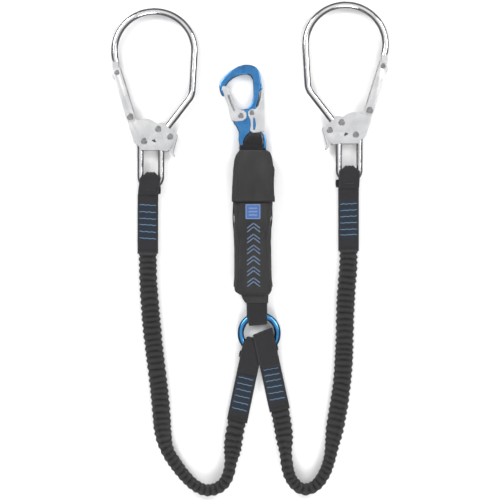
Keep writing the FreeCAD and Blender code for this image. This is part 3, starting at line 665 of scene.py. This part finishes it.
def ring_webbing(side, mats):
    """Leg strap folded round the ring and sewn to itself."""
    spec = RING_LOOPS[side]
    ring_low, ring_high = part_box("connecting_ring")
    z_ring = (ring_low[2] + ring_high[2]) / 2 / MM
    lean = math.radians(spec["lean"])
    down = Vector((math.sin(lean), -math.cos(lean), 0))
    across = Vector((math.cos(lean), math.sin(lean), 0))
    fold = Vector((*[v * MM for v in spec["fold"]], 0))
    radius = spec["gap"] + WEB_T / 2 + 0.05
    length = spec["length"]
    profile = folded_path(-WEB_T / 2, -47.5, -57.5, -length - 4, radius, z_ring,
                          STRAP_Z + WEB_T / 2, STRAP_Z - WEB_T / 2)
    line = smooth_line([tuple(fold - down * (s * MM) + Vector((0, 0, z * MM))) for s, z in profile],
                       1.2 * MM)
    widths, pleats, shade_and_tint_values = [], [], []
    shift = []
    for p in line:
        s = (p - fold).dot(down) / MM
        pinch = ease([(0.0, 1.0), (14.0, 0.0)], s) * spec["pinch"]
        widths.append(WEB_W - pinch)
        shift.append(pinch / 2)
        pleats.append(0.05 * pinch)
        shade_and_tint_values.append(0.6 * in_zone(s, (spec["tacks"][0] - 3, spec["tacks"][-1] + 3), 4.0))
    line = [p + across * (k * MM) for p, k in zip(line, shift)]
    strap = webbing_piece(f"{side}_ring_webbing", line, across, widths, pleats, shade_and_tint_values)
    strap.data.materials.append(mats["webbing"])
    slant_fold(strap, fold, across, down, spec["slant"], 16.0)
    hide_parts(f"{side}_ring_strap")
    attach(strap, "root")
    slip, place = spec["tab"]
    wear_sleeve(f"{side}_ring_sleeve", fold + down * ((place + 5) * MM) + across * (slip * MM),
                across, -down, 30.6, 10.0, z_ring + spec["gap"] - 1.0, "root", mats)
    tack_rows(f"{side}_ring_bar_tacks", fold, across, down, spec["tacks"], 22.0,
              STRAP_Z + WEB_T, STRAP_Z - WEB_T, 0.8, mats["blue_thread"])
    return strap


def wear_sleeve(name, centre, across, along, width, length, z, body, mats):
    """End of the woven wear sleeve inside a loop: it shows as a small tab at each side."""
    line = [centre + along * (k * length / 8 * MM) + Vector((0, 0, z * MM)) for k in range(9)]
    widths = [width * (1 - 0.04 * abs(k - 4) / 4) for k in range(9)]
    sleeve = webbing_piece(name, line, across, widths, [0.0] * 9, thick=1.3)
    sleeve.data.materials.append(mats["binding"])
    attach(sleeve, body)
    return sleeve


def absorber_webbing(mats):
    """The short webbing between pouch and ring, and the loop through the carabiner's eye."""
    low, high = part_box("absorber_ring_loop")
    x = (low[0] + high[0]) / 2
    z_ring = (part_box("connecting_ring")[0][2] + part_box("connecting_ring")[1][2]) / 2 / MM
    tail_z = 14.0
    profile = folded_path(-low[1] / MM - WEB_T / 2, 147.5, 124.0, 108.0, 4.9 + WEB_T / 2, z_ring,
                          tail_z + WEB_T / 2, tail_z - WEB_T / 2)
    line = smooth_line([(x, -s * MM, z * MM) for s, z in profile], 1.2 * MM)
    widths, lean = [], []
    for p in line:
        pinch = 3.0 * ease([(-0.168, 1.0), (-0.154, 0.0)], p.y)
        widths.append(WEB_W - pinch)
        lean.append(pinch / 2)
    line = [p + Vector((k * MM, 0, 0)) for p, k in zip(line, lean)]
    down = webbing_piece("absorber_ring_webbing", line, Vector((-1, 0, 0)), widths,
                         [0.0] * len(line))
    down.data.materials.append(mats["binding"])
    slant_fold(down, Vector((x, low[1], 0)), Vector((1, 0, 0)), Vector((0, 1, 0)), -0.08, 16.0)
    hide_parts("absorber_ring_loop")
    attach(down, "root")

    _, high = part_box("carabiner_loop")
    radius = 5.5 + WEB_T / 2
    profile = folded_path(high[1] / MM - WEB_T / 2, 90.0, 72.0, 62.0, radius, CARABINER_Z,
                          tail_z + WEB_T / 2, tail_z - WEB_T / 2)
    raw = smooth_line([(0, s * MM, z * MM) for s, z in profile], 1.2 * MM)
    line, widths = [], []
    for p in raw:
        left, right = row_at(CARABINER_LOOP_ROWS, p.y / MM)
        line.append(p + Vector(((left + right) / 2 * MM, 0, 0)))
        widths.append(right - left)
    up = webbing_piece("carabiner_webbing", line, Vector((1, 0, 0)), widths, [0.0] * len(line))
    up.data.materials.append(mats["binding"])
    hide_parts("carabiner_loop")
    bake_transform(up)


# ---- pouch --------------------------------------------------------------------------------
POUCH_ROWS = [            # y, left x, right x, bottom z, top z
    (84.2, -9.0, 19.0, 6.0, 22.0), (83.6, -12.5, 23.0, 3.5, 26.0), (81.6, -16.0, 27.4, 1.5, 29.4),
    (75.3, -19.8, 30.0, 0.5, 31.2), (69.5, -21.2, 31.0, 0.2, 31.6), (50.0, -22.8, 32.0, 0.2, 31.8),
    (12.0, -24.0, 32.2, 0.2, 31.8), (5.0, -24.2, 31.8, 0.2, 31.8), (-9.0, -24.8, 32.1, 0.2, 31.9),
    (-20.0, -24.3, 31.3, 0.2, 31.6), (-31.0, -23.1, 29.8, 0.2, 31.2),
    (-45.0, -22.1, 29.7, 0.2, 31.0),
    (-72.0, -22.1, 30.3, 0.2, 31.0), (-98.0, -22.1, 30.5, 0.2, 30.6),
    (-111.5, -23.2, 32.4, 0.6, 29.2),
    (-117.4, -22.6, 31.6, 2.2, 26.6), (-121.0, -18.0, 29.2, 5.0, 23.0),
    (-123.3, -13.0, 27.2, 8.6, 19.4),
]
POUCH_CREASES = [         # depth, half width, and the line of each fold on the front
    (1.5, 1.5, [(8, -17.4), (-20, -17.0), (-60, -16.0), (-116, -17.0)]),
    (0.9, 1.1, [(4, -21.0), (-16, -19.6), (-52, -18.9), (-104, -19.6)]),
    (1.5, 1.5, [(8, 26.4), (-20, 25.6), (-60, 24.4), (-118, 26.0)]),
    (0.8, 1.0, [(-40, 27.2), (-80, 28.0), (-112, 29.4)]),
]
FLAP_ROWS = [             # y, left x, right x, top z
    (85.2, -12.0, 21.6, 22.0), (85.2, -13.0, 23.0, 29.0), (84.9, -14.2, 24.6, 32.0),
    (84.2, -15.4, 26.0, 33.5), (82.6, -16.9, 27.8, 34.1), (79.4, -18.9, 29.6, 34.4),
    (75.3, -20.6, 30.8, 34.5), (69.5, -22.0, 31.6, 34.5), (64.5, -22.5, 32.4, 34.5),
    (60.5, -22.9, 34.2, 34.5), (57.5, -23.3, 34.6, 34.5), (52.0, -23.6, 34.1, 34.5),
    (46.0, -23.9, 33.6, 34.5), (34.5, -24.6, 33.5, 34.5), (22.8, -25.0, 33.9, 34.6),
    (17.0, -25.4, 34.8, 34.7), (12.4, -25.3, 34.7, 34.9),
]
FLAP_CREASES = [
    (1.3, 1.2, [(78, -17.0), (60, -18.6), (34, -18.0), (14, -18.6)]),
    (0.9, 1.0, [(70, -19.8), (50, -21.0), (22, -21.8)]),
    (1.1, 1.3, [(80, 26.0), (62, 27.6), (40, 28.8), (14, 28.4)]),
    (0.7, 1.0, [(66, 30.6), (56, 29.8), (30, 31.4)]),
]
FLAP_SKIRT, FLAP_CORNER = 15.5, 4.6


def row_at(table, y):
    """A table's columns at a place along the pouch, in millimetres."""
    rows = np.array(table)[::-1]
    return [float(np.interp(y, rows[:, 0], rows[:, k])) for k in range(1, rows.shape[1])]


def fold_depth(creases, x, y):
    """How far the folds pull the cloth down at a place."""
    total = 0.0
    for depth, width, points in creases:
        ys, xs = [q[0] for q in points][::-1], [q[1] for q in points][::-1]
        middle = np.interp(y, ys, xs) + 0.5 * noise.noise(Vector((y * 0.05, width * 9, 0)))
        fade = min(max((ys[-1] - y) / 8 + 0.2, 0), 1) * min(max((y - ys[0]) / 8 + 0.2, 0), 1)
        total += depth * fade * math.exp(-((x - middle) / width) ** 2)
    return total


def pouch_section(y, swell=0.0):
    """Ring of the pouch at a place along it: a soft box with a crowned front."""
    left, right, low, high = row_at(POUCH_ROWS, y)
    x, half = (left + right) / 2, (right - left) / 2
    mid, tall = (low + high) / 2, (high - low) / 2
    ring = []
    for j in range(64):
        angle = 2 * math.pi * j / 64
        c, s = math.cos(angle), math.sin(angle)
        px = x + math.copysign(abs(c) ** 0.32, c) * (half - swell)
        pz = mid + math.copysign(abs(s) ** 0.34, s) * (tall - swell)
        if s > 0:
            pz -= 1.6 * (abs(px - x) / half) ** 3
        ring.append(Vector((px * MM, y * MM, pz * MM)))
    return ring


def cloth_swell(piece, voxel, pressure, frames, most):
    """Remeshes a soft piece, lets cloth swell it a little, and keeps the result."""
    remesh = piece.modifiers.new("remesh", "REMESH")
    remesh.mode = "VOXEL"
    remesh.voxel_size = voxel
    applied(piece)
    rest = np.array([v.co for v in piece.data.vertices])
    cloth = piece.modifiers.new("cloth", "CLOTH")
    settings = cloth.settings
    settings.quality = 6
    settings.mass = 0.3
    settings.tension_stiffness = settings.compression_stiffness = 22
    settings.bending_stiffness = 1.5
    settings.use_pressure = True
    settings.uniform_pressure_force = pressure
    settings.shrink_min = -0.015
    settings.effector_weights.gravity = 0
    scene = bpy.context.scene
    scene.frame_start, scene.frame_end = 1, frames
    for step in range(1, frames + 1):
        scene.frame_set(step)
    applied(piece)
    scene.frame_set(1)
    moved = np.array([v.co for v in piece.data.vertices])
    step = moved - rest
    size = np.linalg.norm(step, axis=1)[:, None]
    final = rest + step * np.minimum(1.0, most / np.maximum(size, 1e-9))
    for vertex, place in zip(piece.data.vertices, final):
        vertex.co = place
    smooth = piece.modifiers.new("smooth", "SUBSURF")
    smooth.render_levels = smooth.levels = 1
    applied(piece)
    piece.data.shade_smooth()
    return piece


def drape(tree, x, y, lift):
    """The point just above the pouch's front at a place in plan, in millimetres."""
    hit = tree.ray_cast(Vector((x * MM, y * MM, 0.1)), Vector((0, 0, -1)))[0]
    return Vector((x * MM, y * MM, (hit.z if hit else 0.03) + lift * MM))


def print_strip(tree, start, end, width, lift):
    """Vertices and faces of one printed stroke laid on the cloth."""
    a, b = Vector((*start, 0)), Vector((*end, 0))
    way = (b - a).normalized()
    side = Vector((-way.y, way.x, 0)) * (width / 2)
    steps = max(2, int((b - a).length / 1.2))
    across = max(1, int(width / 1.2))
    points = []
    for i in range(steps + 1):
        middle = a.lerp(b, i / steps)
        points.append([drape(tree, *(middle + side * (2 * k / across - 1)).xy, lift)
                       for k in range(across + 1)])
    return points


def printed(name, tree, strokes, finish, lift=0.15):
    """Print on the pouch: strokes given by their two ends and a width."""
    pieces = []
    for k, (start, end, width) in enumerate(strokes):
        piece = surface(f"{name}_{k}", print_strip(tree, start, end, width, lift), closed=False)
        thick = piece.modifiers.new("thick", "SOLIDIFY")
        thick.thickness, thick.offset = 0.00022, 0
        pieces.append(applied(piece))
    whole = join(name, pieces)
    whole.data.shade_smooth()
    whole.data.materials.append(finish)
    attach(whole, "root")
    return whole


def stitch_run(name, points, pitch, radius, finish):
    """A line of single stitches that lie on a surface."""
    line = even(points, pitch * MM)
    beads = bmesh.new()
    for a, b in zip(line, line[1:]):
        middle, way = (a + b) / 2, b - a
        spin = way.to_track_quat("X", "Z").to_matrix().to_4x4()
        size = Matrix.Diagonal((way.length * 0.40, radius * MM, radius * 0.7 * MM, 1))
        bmesh.ops.create_uvsphere(beads, u_segments=8, v_segments=5, radius=1.0,
                                  matrix=Matrix.Translation(middle) @ spin @ size)
    mesh = bpy.data.meshes.new(name)
    beads.to_mesh(mesh)
    beads.free()
    mesh.shade_smooth()
    piece = link(name, mesh)
    piece.data.materials.append(finish)
    return piece


def piping(name, points, radius, finish):
    """A thin round piping along a line."""
    line = smooth_line(points, 1.5 * MM)
    rows = []
    for p, t in zip(line, tangents(line)):
        side = t.cross(Vector((0, 0, 1)))
        side = side.normalized() if side.length > 0.1 else Vector((1, 0, 0))
        lift = side.cross(t).normalized()
        rows.append([p + (side * math.cos(a) + lift * math.sin(a)) * radius * MM
                     for a in [2 * math.pi * k / 10 for k in range(10)]])
    run = [i * 0.0015 for i in range(len(rows))]
    piece = surface(name, rows, uv=([k * 0.0006 for k in range(11)], run))
    piece.data.materials.append(finish)
    return piece


def lift_off(skin, node, gap):
    """Keeps a soft skin outside the piece that it wraps, by a gap in millimetres."""
    inner = NODES[node]
    tree = BVHTree.FromPolygons([inner.matrix_world @ v.co for v in inner.data.vertices],
                                [tuple(p.vertices) for p in inner.data.polygons])
    reach, found = 8 * MM, []
    for vertex in skin.data.vertices:
        out = vertex.normal.copy()
        hit = tree.ray_cast(vertex.co + out * reach, -out, reach + gap * MM)[0]
        if hit is not None:
            found.append((vertex, hit + out * (gap * MM)))
    for vertex, place in found:
        vertex.co = place


def pouch(mats):
    """The absorber's case: a swelled fabric shell with folds, seams and bindings."""
    ys = [84.2, 83.9, 83.6, 82.8, 81.6, 79.0, 75.3] + [72.0 - 4.0 * k for k in range(46)]
    ys += [-111.5, -114.5, -117.4, -119.4, -121.0, -122.4, -123.3]
    shell = surface("pouch_body", [pouch_section(y, 0.7) for y in ys])
    cloth_swell(shell, 2.6 * MM, 3.0, 16, 2.0 * MM)
    for vertex in shell.data.vertices:
        x, y, z = (v / MM for v in vertex.co)
        if z > 16:
            z -= fold_depth(POUCH_CREASES, x, y) * min((z - 16) / 10, 1)
            if y > FLAP_ROWS[-1][0] - 2:
                z = min(z, 31.7)
        vertex.co.z = max(z, 0.1) * MM
    lift_off(shell, "pack_film", 0.6)
    shell.data.materials.append(mats["cloth"])
    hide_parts("pouch_shell")
    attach(shell, "root")
    tree = BVHTree.FromPolygons([v.co for v in shell.data.vertices],
                                [tuple(p.vertices) for p in shell.data.polygons])
    for column, sign, label in ((0, 1, "left"), (1, -1, "right")):
        seam = [drape(tree, row_at(POUCH_ROWS, y)[column] + sign * 4.4, y, 0.12)
                for y in np.linspace(9.0, -108.0, 40)]
        run = stitch_run(f"pouch_seam_{label}", seam, 3.0, 0.32, mats["black_thread"])
        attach(run, "root")
        edge = [(row_at(POUCH_ROWS, y)[column] * MM, y * MM, 0.0125)
                for y in np.linspace(78, -112, 40)]
        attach(piping(f"pouch_piping_{label}", edge, 0.9, mats["binding"]), "root")
    return tree


FOOT_ROWS = [             # y, left x, right x, bottom z, top z of the sleeve below the pouch
    (-119.0, -13.0, 27.4, 9.4, 18.8), (-124.0, -12.6, 27.0, 9.8, 18.2),
    (-128.5, -11.3, 26.7, 10.2, 17.6), (-132.5, -8.8, 26.6, 10.5, 17.4),
    (-135.6, -6.4, 26.5, 10.7, 17.3),
]


def pouch_foot(mats):
    """The pouch's fabric gathered round the webbing where it comes out."""
    rows = []
    for y in np.linspace(FOOT_ROWS[0][0], FOOT_ROWS[-1][0], 14):
        left, right, low, high = row_at(FOOT_ROWS, y)
        x, half = (left + right) / 2, (right - left) / 2
        mid, tall = (low + high) / 2, (high - low) / 2
        ring = []
        for j in range(48):
            angle = 2 * math.pi * j / 48
            c, s = math.cos(angle), math.sin(angle)
            pucker = 0.35 * math.sin(j * 2.1 + y * 0.2) * (s > 0.3)
            ring.append(Vector(((x + math.copysign(abs(c) ** 0.3, c) * half) * MM, y * MM,
                                (mid + math.copysign(abs(s) ** 0.5, s) * tall + pucker) * MM)))
        rows.append(ring)
    across = [0.09 * j / 48 for j in range(49)]
    foot = surface("pouch_foot", rows, uv=(across, [0.0012 * i for i in range(len(rows))]))
    foot.data.materials.append(mats["cloth"])
    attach(foot, "root")
    line = [rows[-2][j] + Vector((0, 0, 0.0002)) for j in range(3, 22)]
    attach(stitch_run("pouch_foot_seam", line, 2.6, 0.32, mats["black_thread"]),
            "root")


def emblem(tree, mats):
    """Generic printed patch of plain bars, and a column of plain chevrons below it."""
    low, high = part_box("emblem_patch")
    x0, x1, y0, y1 = low[0] / MM, high[0] / MM, low[1] / MM, high[1] / MM
    y, side, rim = (y0 + y1) / 2, x1 - x0, 1.7
    ground = printed("emblem_ground", tree, [((x0, y), (x1, y), y1 - y0)], mats["print_blue"], 0.2)
    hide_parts("emblem_patch")
    frame_lines = [((x0, y0 + rim / 2), (x1, y0 + rim / 2), rim),
                   ((x0, y1 - rim / 2), (x1, y1 - rim / 2), rim),
                   ((x0 + rim / 2, y0), (x0 + rim / 2, y1), rim),
                   ((x1 - rim / 2, y0), (x1 - rim / 2, y1), rim)]
    bars = [((x0 + 4.4, y0 + side * share), (x1 - 4.4, y0 + side * share), 2.6)
            for share in (0.28, 0.5, 0.72)]
    printed("emblem_bars", tree, frame_lines + bars, mats["print_pale"], 0.42)
    chevrons = []
    for k in range(6):
        tip = -19.5 - 15.8 * k
        chevrons += [((5.2, tip), (-4.2, tip - 7.4), 1.7), ((5.2, tip), (14.6, tip - 7.4), 1.7)]
        chevrons += [((5.2, tip - 5.4), (-4.2, tip - 12.8), 1.7),
                     ((5.2, tip - 5.4), (14.6, tip - 12.8), 1.7)]
    printed("pouch_chevrons", tree, chevrons, mats["print_lines"], 0.2)


def spaced(points, count):
    """A fixed number of evenly spaced points along a line of (x, z)."""
    line = np.array(points)
    run = np.concatenate([[0], np.cumsum(np.linalg.norm(np.diff(line, axis=0), axis=1))])
    at = np.linspace(0, run[-1], count)
    return list(zip(np.interp(at, run, line[:, 0]), np.interp(at, run, line[:, 1])))


def flap(tree, mats):
    """The cover over the pouch's upper half, open at its lower edge."""
    columns, rows = 89, []
    end = FLAP_ROWS[-1][0]
    heights = [85.2, 85.2, 84.9, 84.6, 84.2, 83.5, 82.6, 81.4, 80.0]
    heights += list(np.linspace(78.5, end, 52))
    tops = [22.0, 29.0, 32.0]
    for i, y in enumerate(heights):
        left, right, top = row_at(FLAP_ROWS, y)
        top = tops[i] if i < len(tops) else top
        skirt = min(FLAP_SKIRT, top - 3)
        r = min(FLAP_CORNER, top - skirt - 1)
        arc = [(r * (1 - math.cos(a)), r * (1 - math.sin(a)))
               for a in [math.pi / 2 * k / 6 for k in range(7)]]
        profile = [(left, skirt), (left - 0.25, (skirt + top - r) / 2)]
        profile += [(left + dx, top - dz) for dx, dz in arc]
        profile += [((left + right) / 2, top + 0.35)]
        profile += [(right - dx, top - dz) for dx, dz in reversed(arc)]
        profile += [(right + 0.25, (skirt + top - r) / 2), (right, skirt)]
        row = []
        for j, (px, pz) in enumerate(spaced(profile, columns)):
            sag = 0.45 * noise.noise(Vector((px * 0.07, y * 0.05, 2.0)))
            sag -= 0.35 * math.exp(-((y - end - 3.0) / 3.0) ** 2)
            share = min(max((pz - 20) / 8, 0), 1)
            z = pz - fold_depth(FLAP_CREASES, px, y) * share + sag * share
            hit = tree.ray_cast(Vector((px * MM, y * MM, 0.1)), Vector((0, 0, -1)))[0]
            if hit is not None and pz > 28:
                z = max(z, hit.z / MM + 1.9)
            wave = 0.35 * noise.noise(Vector((y * 0.11, pz * 0.09, 7.0))) * (1 - share)
            row.append(Vector(((px + wave) * MM, y * MM, z * MM)))
        rows.append(row)
    uv = ([0.0009 * j for j in range(columns)], [y * MM for y in heights])
    cover = surface("pouch_cover", rows, closed=False, uv=uv)
    thick = cover.modifiers.new("thick", "SOLIDIFY")
    thick.thickness, thick.offset = 0.0011, -1
    applied(cover)
    cover.data.materials.append(mats["flap_cloth"])
    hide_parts("pouch_flap")
    soft = [cover]
    hem = [tuple(q) for q in rows[-1]]
    soft.append(piping("cover_hem", hem, 0.85, mats["binding"]))
    seam = [rows[-4][j] + Vector((0, 0, 0.0002)) for j in range(16, columns - 16)]
    soft.append(stitch_run("cover_seam", seam, 2.8, 0.3, mats["black_thread"]))
    for column, label in ((0, "left"), (columns - 1, "right")):
        edge = [tuple(rows[i][column]) for i in range(2, len(rows), 2)]
        soft.append(piping(f"cover_hem_{label}", edge, 0.8, mats["binding"]))
    top_edge = [tuple(q + Vector((0, 0.0002, 0.0003))) for q in rows[5][14:-14]]
    soft.append(piping("cover_top_piping", top_edge, 0.8, mats["flap_cloth"]))
    for piece in soft:
        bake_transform(piece)


HOOD_ROWS = [             # y, left x, right x, top z of the webbing hood at the pouch's mouth
    (78.0, -15.7, 19.0, 17.6), (86.0, -15.9, 19.1, 17.6), (92.2, -16.1, 19.6, 17.2),
    (94.4, -15.2, 18.8, 16.8),
]


def mouth_hood(mats):
    """The webbing folded over the ends of the carabiner's eye bar."""
    rows = []
    for y in np.linspace(HOOD_ROWS[0][0], HOOD_ROWS[-1][0], 18):
        left, right, top = row_at(HOOD_ROWS, y)
        profile = [(left, 2.0), (left, top - 3.2), (left + 0.9, top - 1.0), (left + 3.2, top - 0.1),
                   ((left + right) / 2, top + 0.3), (right - 3.2, top - 0.1), (right - 0.9, top - 1.0),
                   (right, top - 3.2), (right, 2.0)]
        rows.append([Vector((px * MM, y * MM, pz * MM)) for px, pz in spaced(profile, 49)])
    uv = ([0.0011 * j for j in range(49)], [0.001 * i for i in range(18)])
    hood = surface("mouth_hood", rows, closed=False, uv=uv)
    thick = hood.modifiers.new("thick", "SOLIDIFY")
    thick.thickness, thick.offset = 0.0011, -1
    applied(hood)
    hood.data.materials.append(mats["binding"])
    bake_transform(hood)


# ---- metal --------------------------------------------------------------------------------
def forged_carabiner(mats):
    """The frame's CAD shape with the soft edges of a tumbled forging."""
    source = NODES["carabiner_frame"]
    piece = link("forged_frame", source.data.copy())
    piece.data.materials.clear()
    remesh = piece.modifiers.new("remesh", "REMESH")
    remesh.mode = "VOXEL"
    remesh.voxel_size = 0.75 * MM
    relax = piece.modifiers.new("relax", "SMOOTH")
    relax.factor, relax.iterations = 0.5, 14
    applied(piece)
    piece.data.shade_smooth()
    piece.data.materials.append(mats["blue"])
    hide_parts("carabiner_frame")
    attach(piece, "carabiner")


CRISP = {                 # sheet and turned pieces, by rounding of their edges in millimetres
    0.75: ("hook_front_plate", "gate", "lock_lever"),
    0.35: ("gate_nose_pin", "lever_pivot_rivet", "gate_pivot_rivet", "hook_body_rivets"),
}
CRISP_CARABINER = {0.6: ("carabiner_gate", "carabiner_lever")}


def rounded_edges(name, width, finish, body):
    """A stamped piece with the rolled edges that tumbling and plating leave."""
    piece = link(f"{name}_finished", NODES[name].data.copy())
    piece.data.materials.clear()
    merged = bmesh.new()
    merged.from_mesh(piece.data)
    bmesh.ops.remove_doubles(merged, verts=merged.verts, dist=1e-6)
    bmesh.ops.dissolve_limit(merged, angle_limit=math.radians(1.0), verts=merged.verts,
                             edges=merged.edges)
    merged.to_mesh(piece.data)
    merged.free()
    bevel = piece.modifiers.new("bevel", "BEVEL")
    bevel.width, bevel.segments = width * MM, 3
    bevel.limit_method, bevel.angle_limit = "ANGLE", math.radians(40)
    applied(piece)
    piece.data.shade_smooth()
    piece.data.set_sharp_from_angle(angle=math.radians(34))
    piece.data.materials.append(finish)
    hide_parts(name)
    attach(piece, body)


def crisp_metal(mats):
    """Rolled edges on the front plates, gates, levers, pins and rivets, so that they show against each
    other.
    """
    bodies = {"gate": "gate", "gate_nose_pin": "gate", "lock_lever": "lock_lever"}
    for side in SIDES:
        for width, names in CRISP.items():
            for name in names:
                finish = mats["rivet" if "rivet" in name or "pin" in name else "steel"]
                rounded_edges(f"{side}_{name}", width, finish, f"{side}_{bodies.get(name, 'hook')}")
    for width, names in CRISP_CARABINER.items():
        for name in names:
            rounded_edges(name, width, mats["steel"], name)


CAD_FINISHES = {
    "rod": ("hook_bow", "hook_bail"),
    "steel": ("hook_front_plate", "hook_back_plate", "hook_spacers", "gate",
              "lock_lever"),
    "rivet": ("gate_pivot_rivet", "gate_nose_pin", "lever_pivot_rivet", "hook_body_rivets"),
    "spring": ("gate_spring", "lever_spring"),
    "tape": ("loop_wear_tape",),
}
CAD_FINISHES_SINGLE = {
    "ring_blue": ("connecting_ring",),
    "steel": ("carabiner_gate", "carabiner_lever"),
    "rivet": ("carabiner_gate_rivet", "carabiner_lever_rivet"),
    "spring": ("carabiner_gate_spring", "carabiner_lever_spring"),
    "tape": ("carabiner_wear_tape",),
    "hook_loop": ("loop_tape", "hook_tape"),
    "label": ("id_label",),
    "tear": ("tear_webbing",),
    "webbing": ("backup_webbing",),
    "film": ("pack_film",),
    "blue": ("carabiner_frame",),
    "cloth": ("pouch_shell", "pouch_flap"),
    "print_blue": ("emblem_patch",),
}


def finish_cad(mats):
    """Gives every CAD node its finish, shown or replaced."""
    chosen = {}
    for key, names in CAD_FINISHES.items():
        for side in SIDES:
            chosen.update({f"{side}_{name}": key for name in names})
    for key, names in CAD_FINISHES_SINGLE.items():
        chosen.update({name: key for name in names})
    for name, node in NODES.items():
        finish = mats[chosen.get(name, "webbing")]
        if node.data.materials:
            for k in range(len(node.data.materials)):
                node.material_slots[k].material = finish
        else:
            node.data.materials.append(finish)


# ---- studio -------------------------------------------------------------------------------
LIGHTS = (                # name, place, size in metres and power in watts
    ("key", (-1.5, 1.3, 1.6), 1.1, 48), ("rim", (1.7, 0.9, 1.6), 1.1, 36),
    ("fill", (0.2, -2.1, 1.6), 1.3, 42),
)


def studio():
    """White sweep, soft overhead light and the straight-down camera."""
    scene = bpy.context.scene
    scene.view_settings.view_transform = "Standard"
    bpy.ops.mesh.primitive_plane_add(size=6, location=(0, 0, 0))
    floor = bpy.context.object
    floor.name = "floor"
    paper = Finish("paper", (0.93, 0.93, 0.93), 0.9, Specular_IOR_Level=0.1)
    grain = paper.noise("Object", 90, 3)
    paper.mix(grain, (0.92, 0.92, 0.92), (0.94, 0.94, 0.94))
    floor.data.materials.append(paper.material)
    floor.visible_glossy = False        # the metal mirrors a dark studio at its edges
    world = scene.world or bpy.data.worlds.new("world")
    scene.world = world
    world.use_nodes = True
    tree = world.node_tree
    back = tree.nodes["Background"]
    place = tree.nodes.new("ShaderNodeTexCoord")
    split = tree.nodes.new("ShaderNodeSeparateXYZ")
    ramp = tree.nodes.new("ShaderNodeValToRGB")
    stops = ramp.color_ramp.elements
    stops[0].position, stops[0].color = 0.0, (0.16, 0.16, 0.17, 1)
    stops[1].position, stops[1].color = 0.93, (1.0, 1.0, 1.0, 1)
    for position, level in ((0.35, 0.10), (0.62, 0.16), (0.80, 0.62)):
        stop = stops.new(position)
        stop.color = (level, level, level * 1.02, 1)
    tree.links.new(place.outputs["Generated"], split.inputs[0])
    tree.links.new(split.outputs["Z"], ramp.inputs[0])
    tree.links.new(ramp.outputs[0], back.inputs["Color"])
    back.inputs["Strength"].default_value = 0.88
    for name, spot, size, power in LIGHTS:
        data = bpy.data.lights.new(name, "AREA")
        data.shape, data.size, data.energy = "SQUARE", size, power
        lamp = bpy.data.objects.new(name, data)
        lamp.location = spot
        aim = Vector((0, -0.05, 0)) - Vector(spot)
        lamp.rotation_euler = aim.to_track_quat("-Z", "Y").to_euler()
        scene.collection.objects.link(lamp)
    lens, sensor, width = 100.0, 36.0, 0.730
    data = bpy.data.cameras.new("camera")
    data.lens, data.sensor_width, data.clip_end = lens, sensor, 20
    camera = bpy.data.objects.new("camera", data)
    camera.location = (0.0, -0.0583, width * lens / sensor + 0.012)
    scene.collection.objects.link(camera)
    scene.camera = camera


studio()
MATS = make_materials()
for side in SIDES:
    ruched_leg(side, MATS["ruched"])
finish_cad(MATS)
for side in SIDES:
    hook_webbing(side, MATS)
    ring_webbing(side, MATS)
absorber_webbing(MATS)
POUCH_FACE = pouch(MATS)
pouch_foot(MATS)
emblem(POUCH_FACE, MATS)
flap(POUCH_FACE, MATS)
mouth_hood(MATS)
forged_carabiner(MATS)
crisp_metal(MATS)
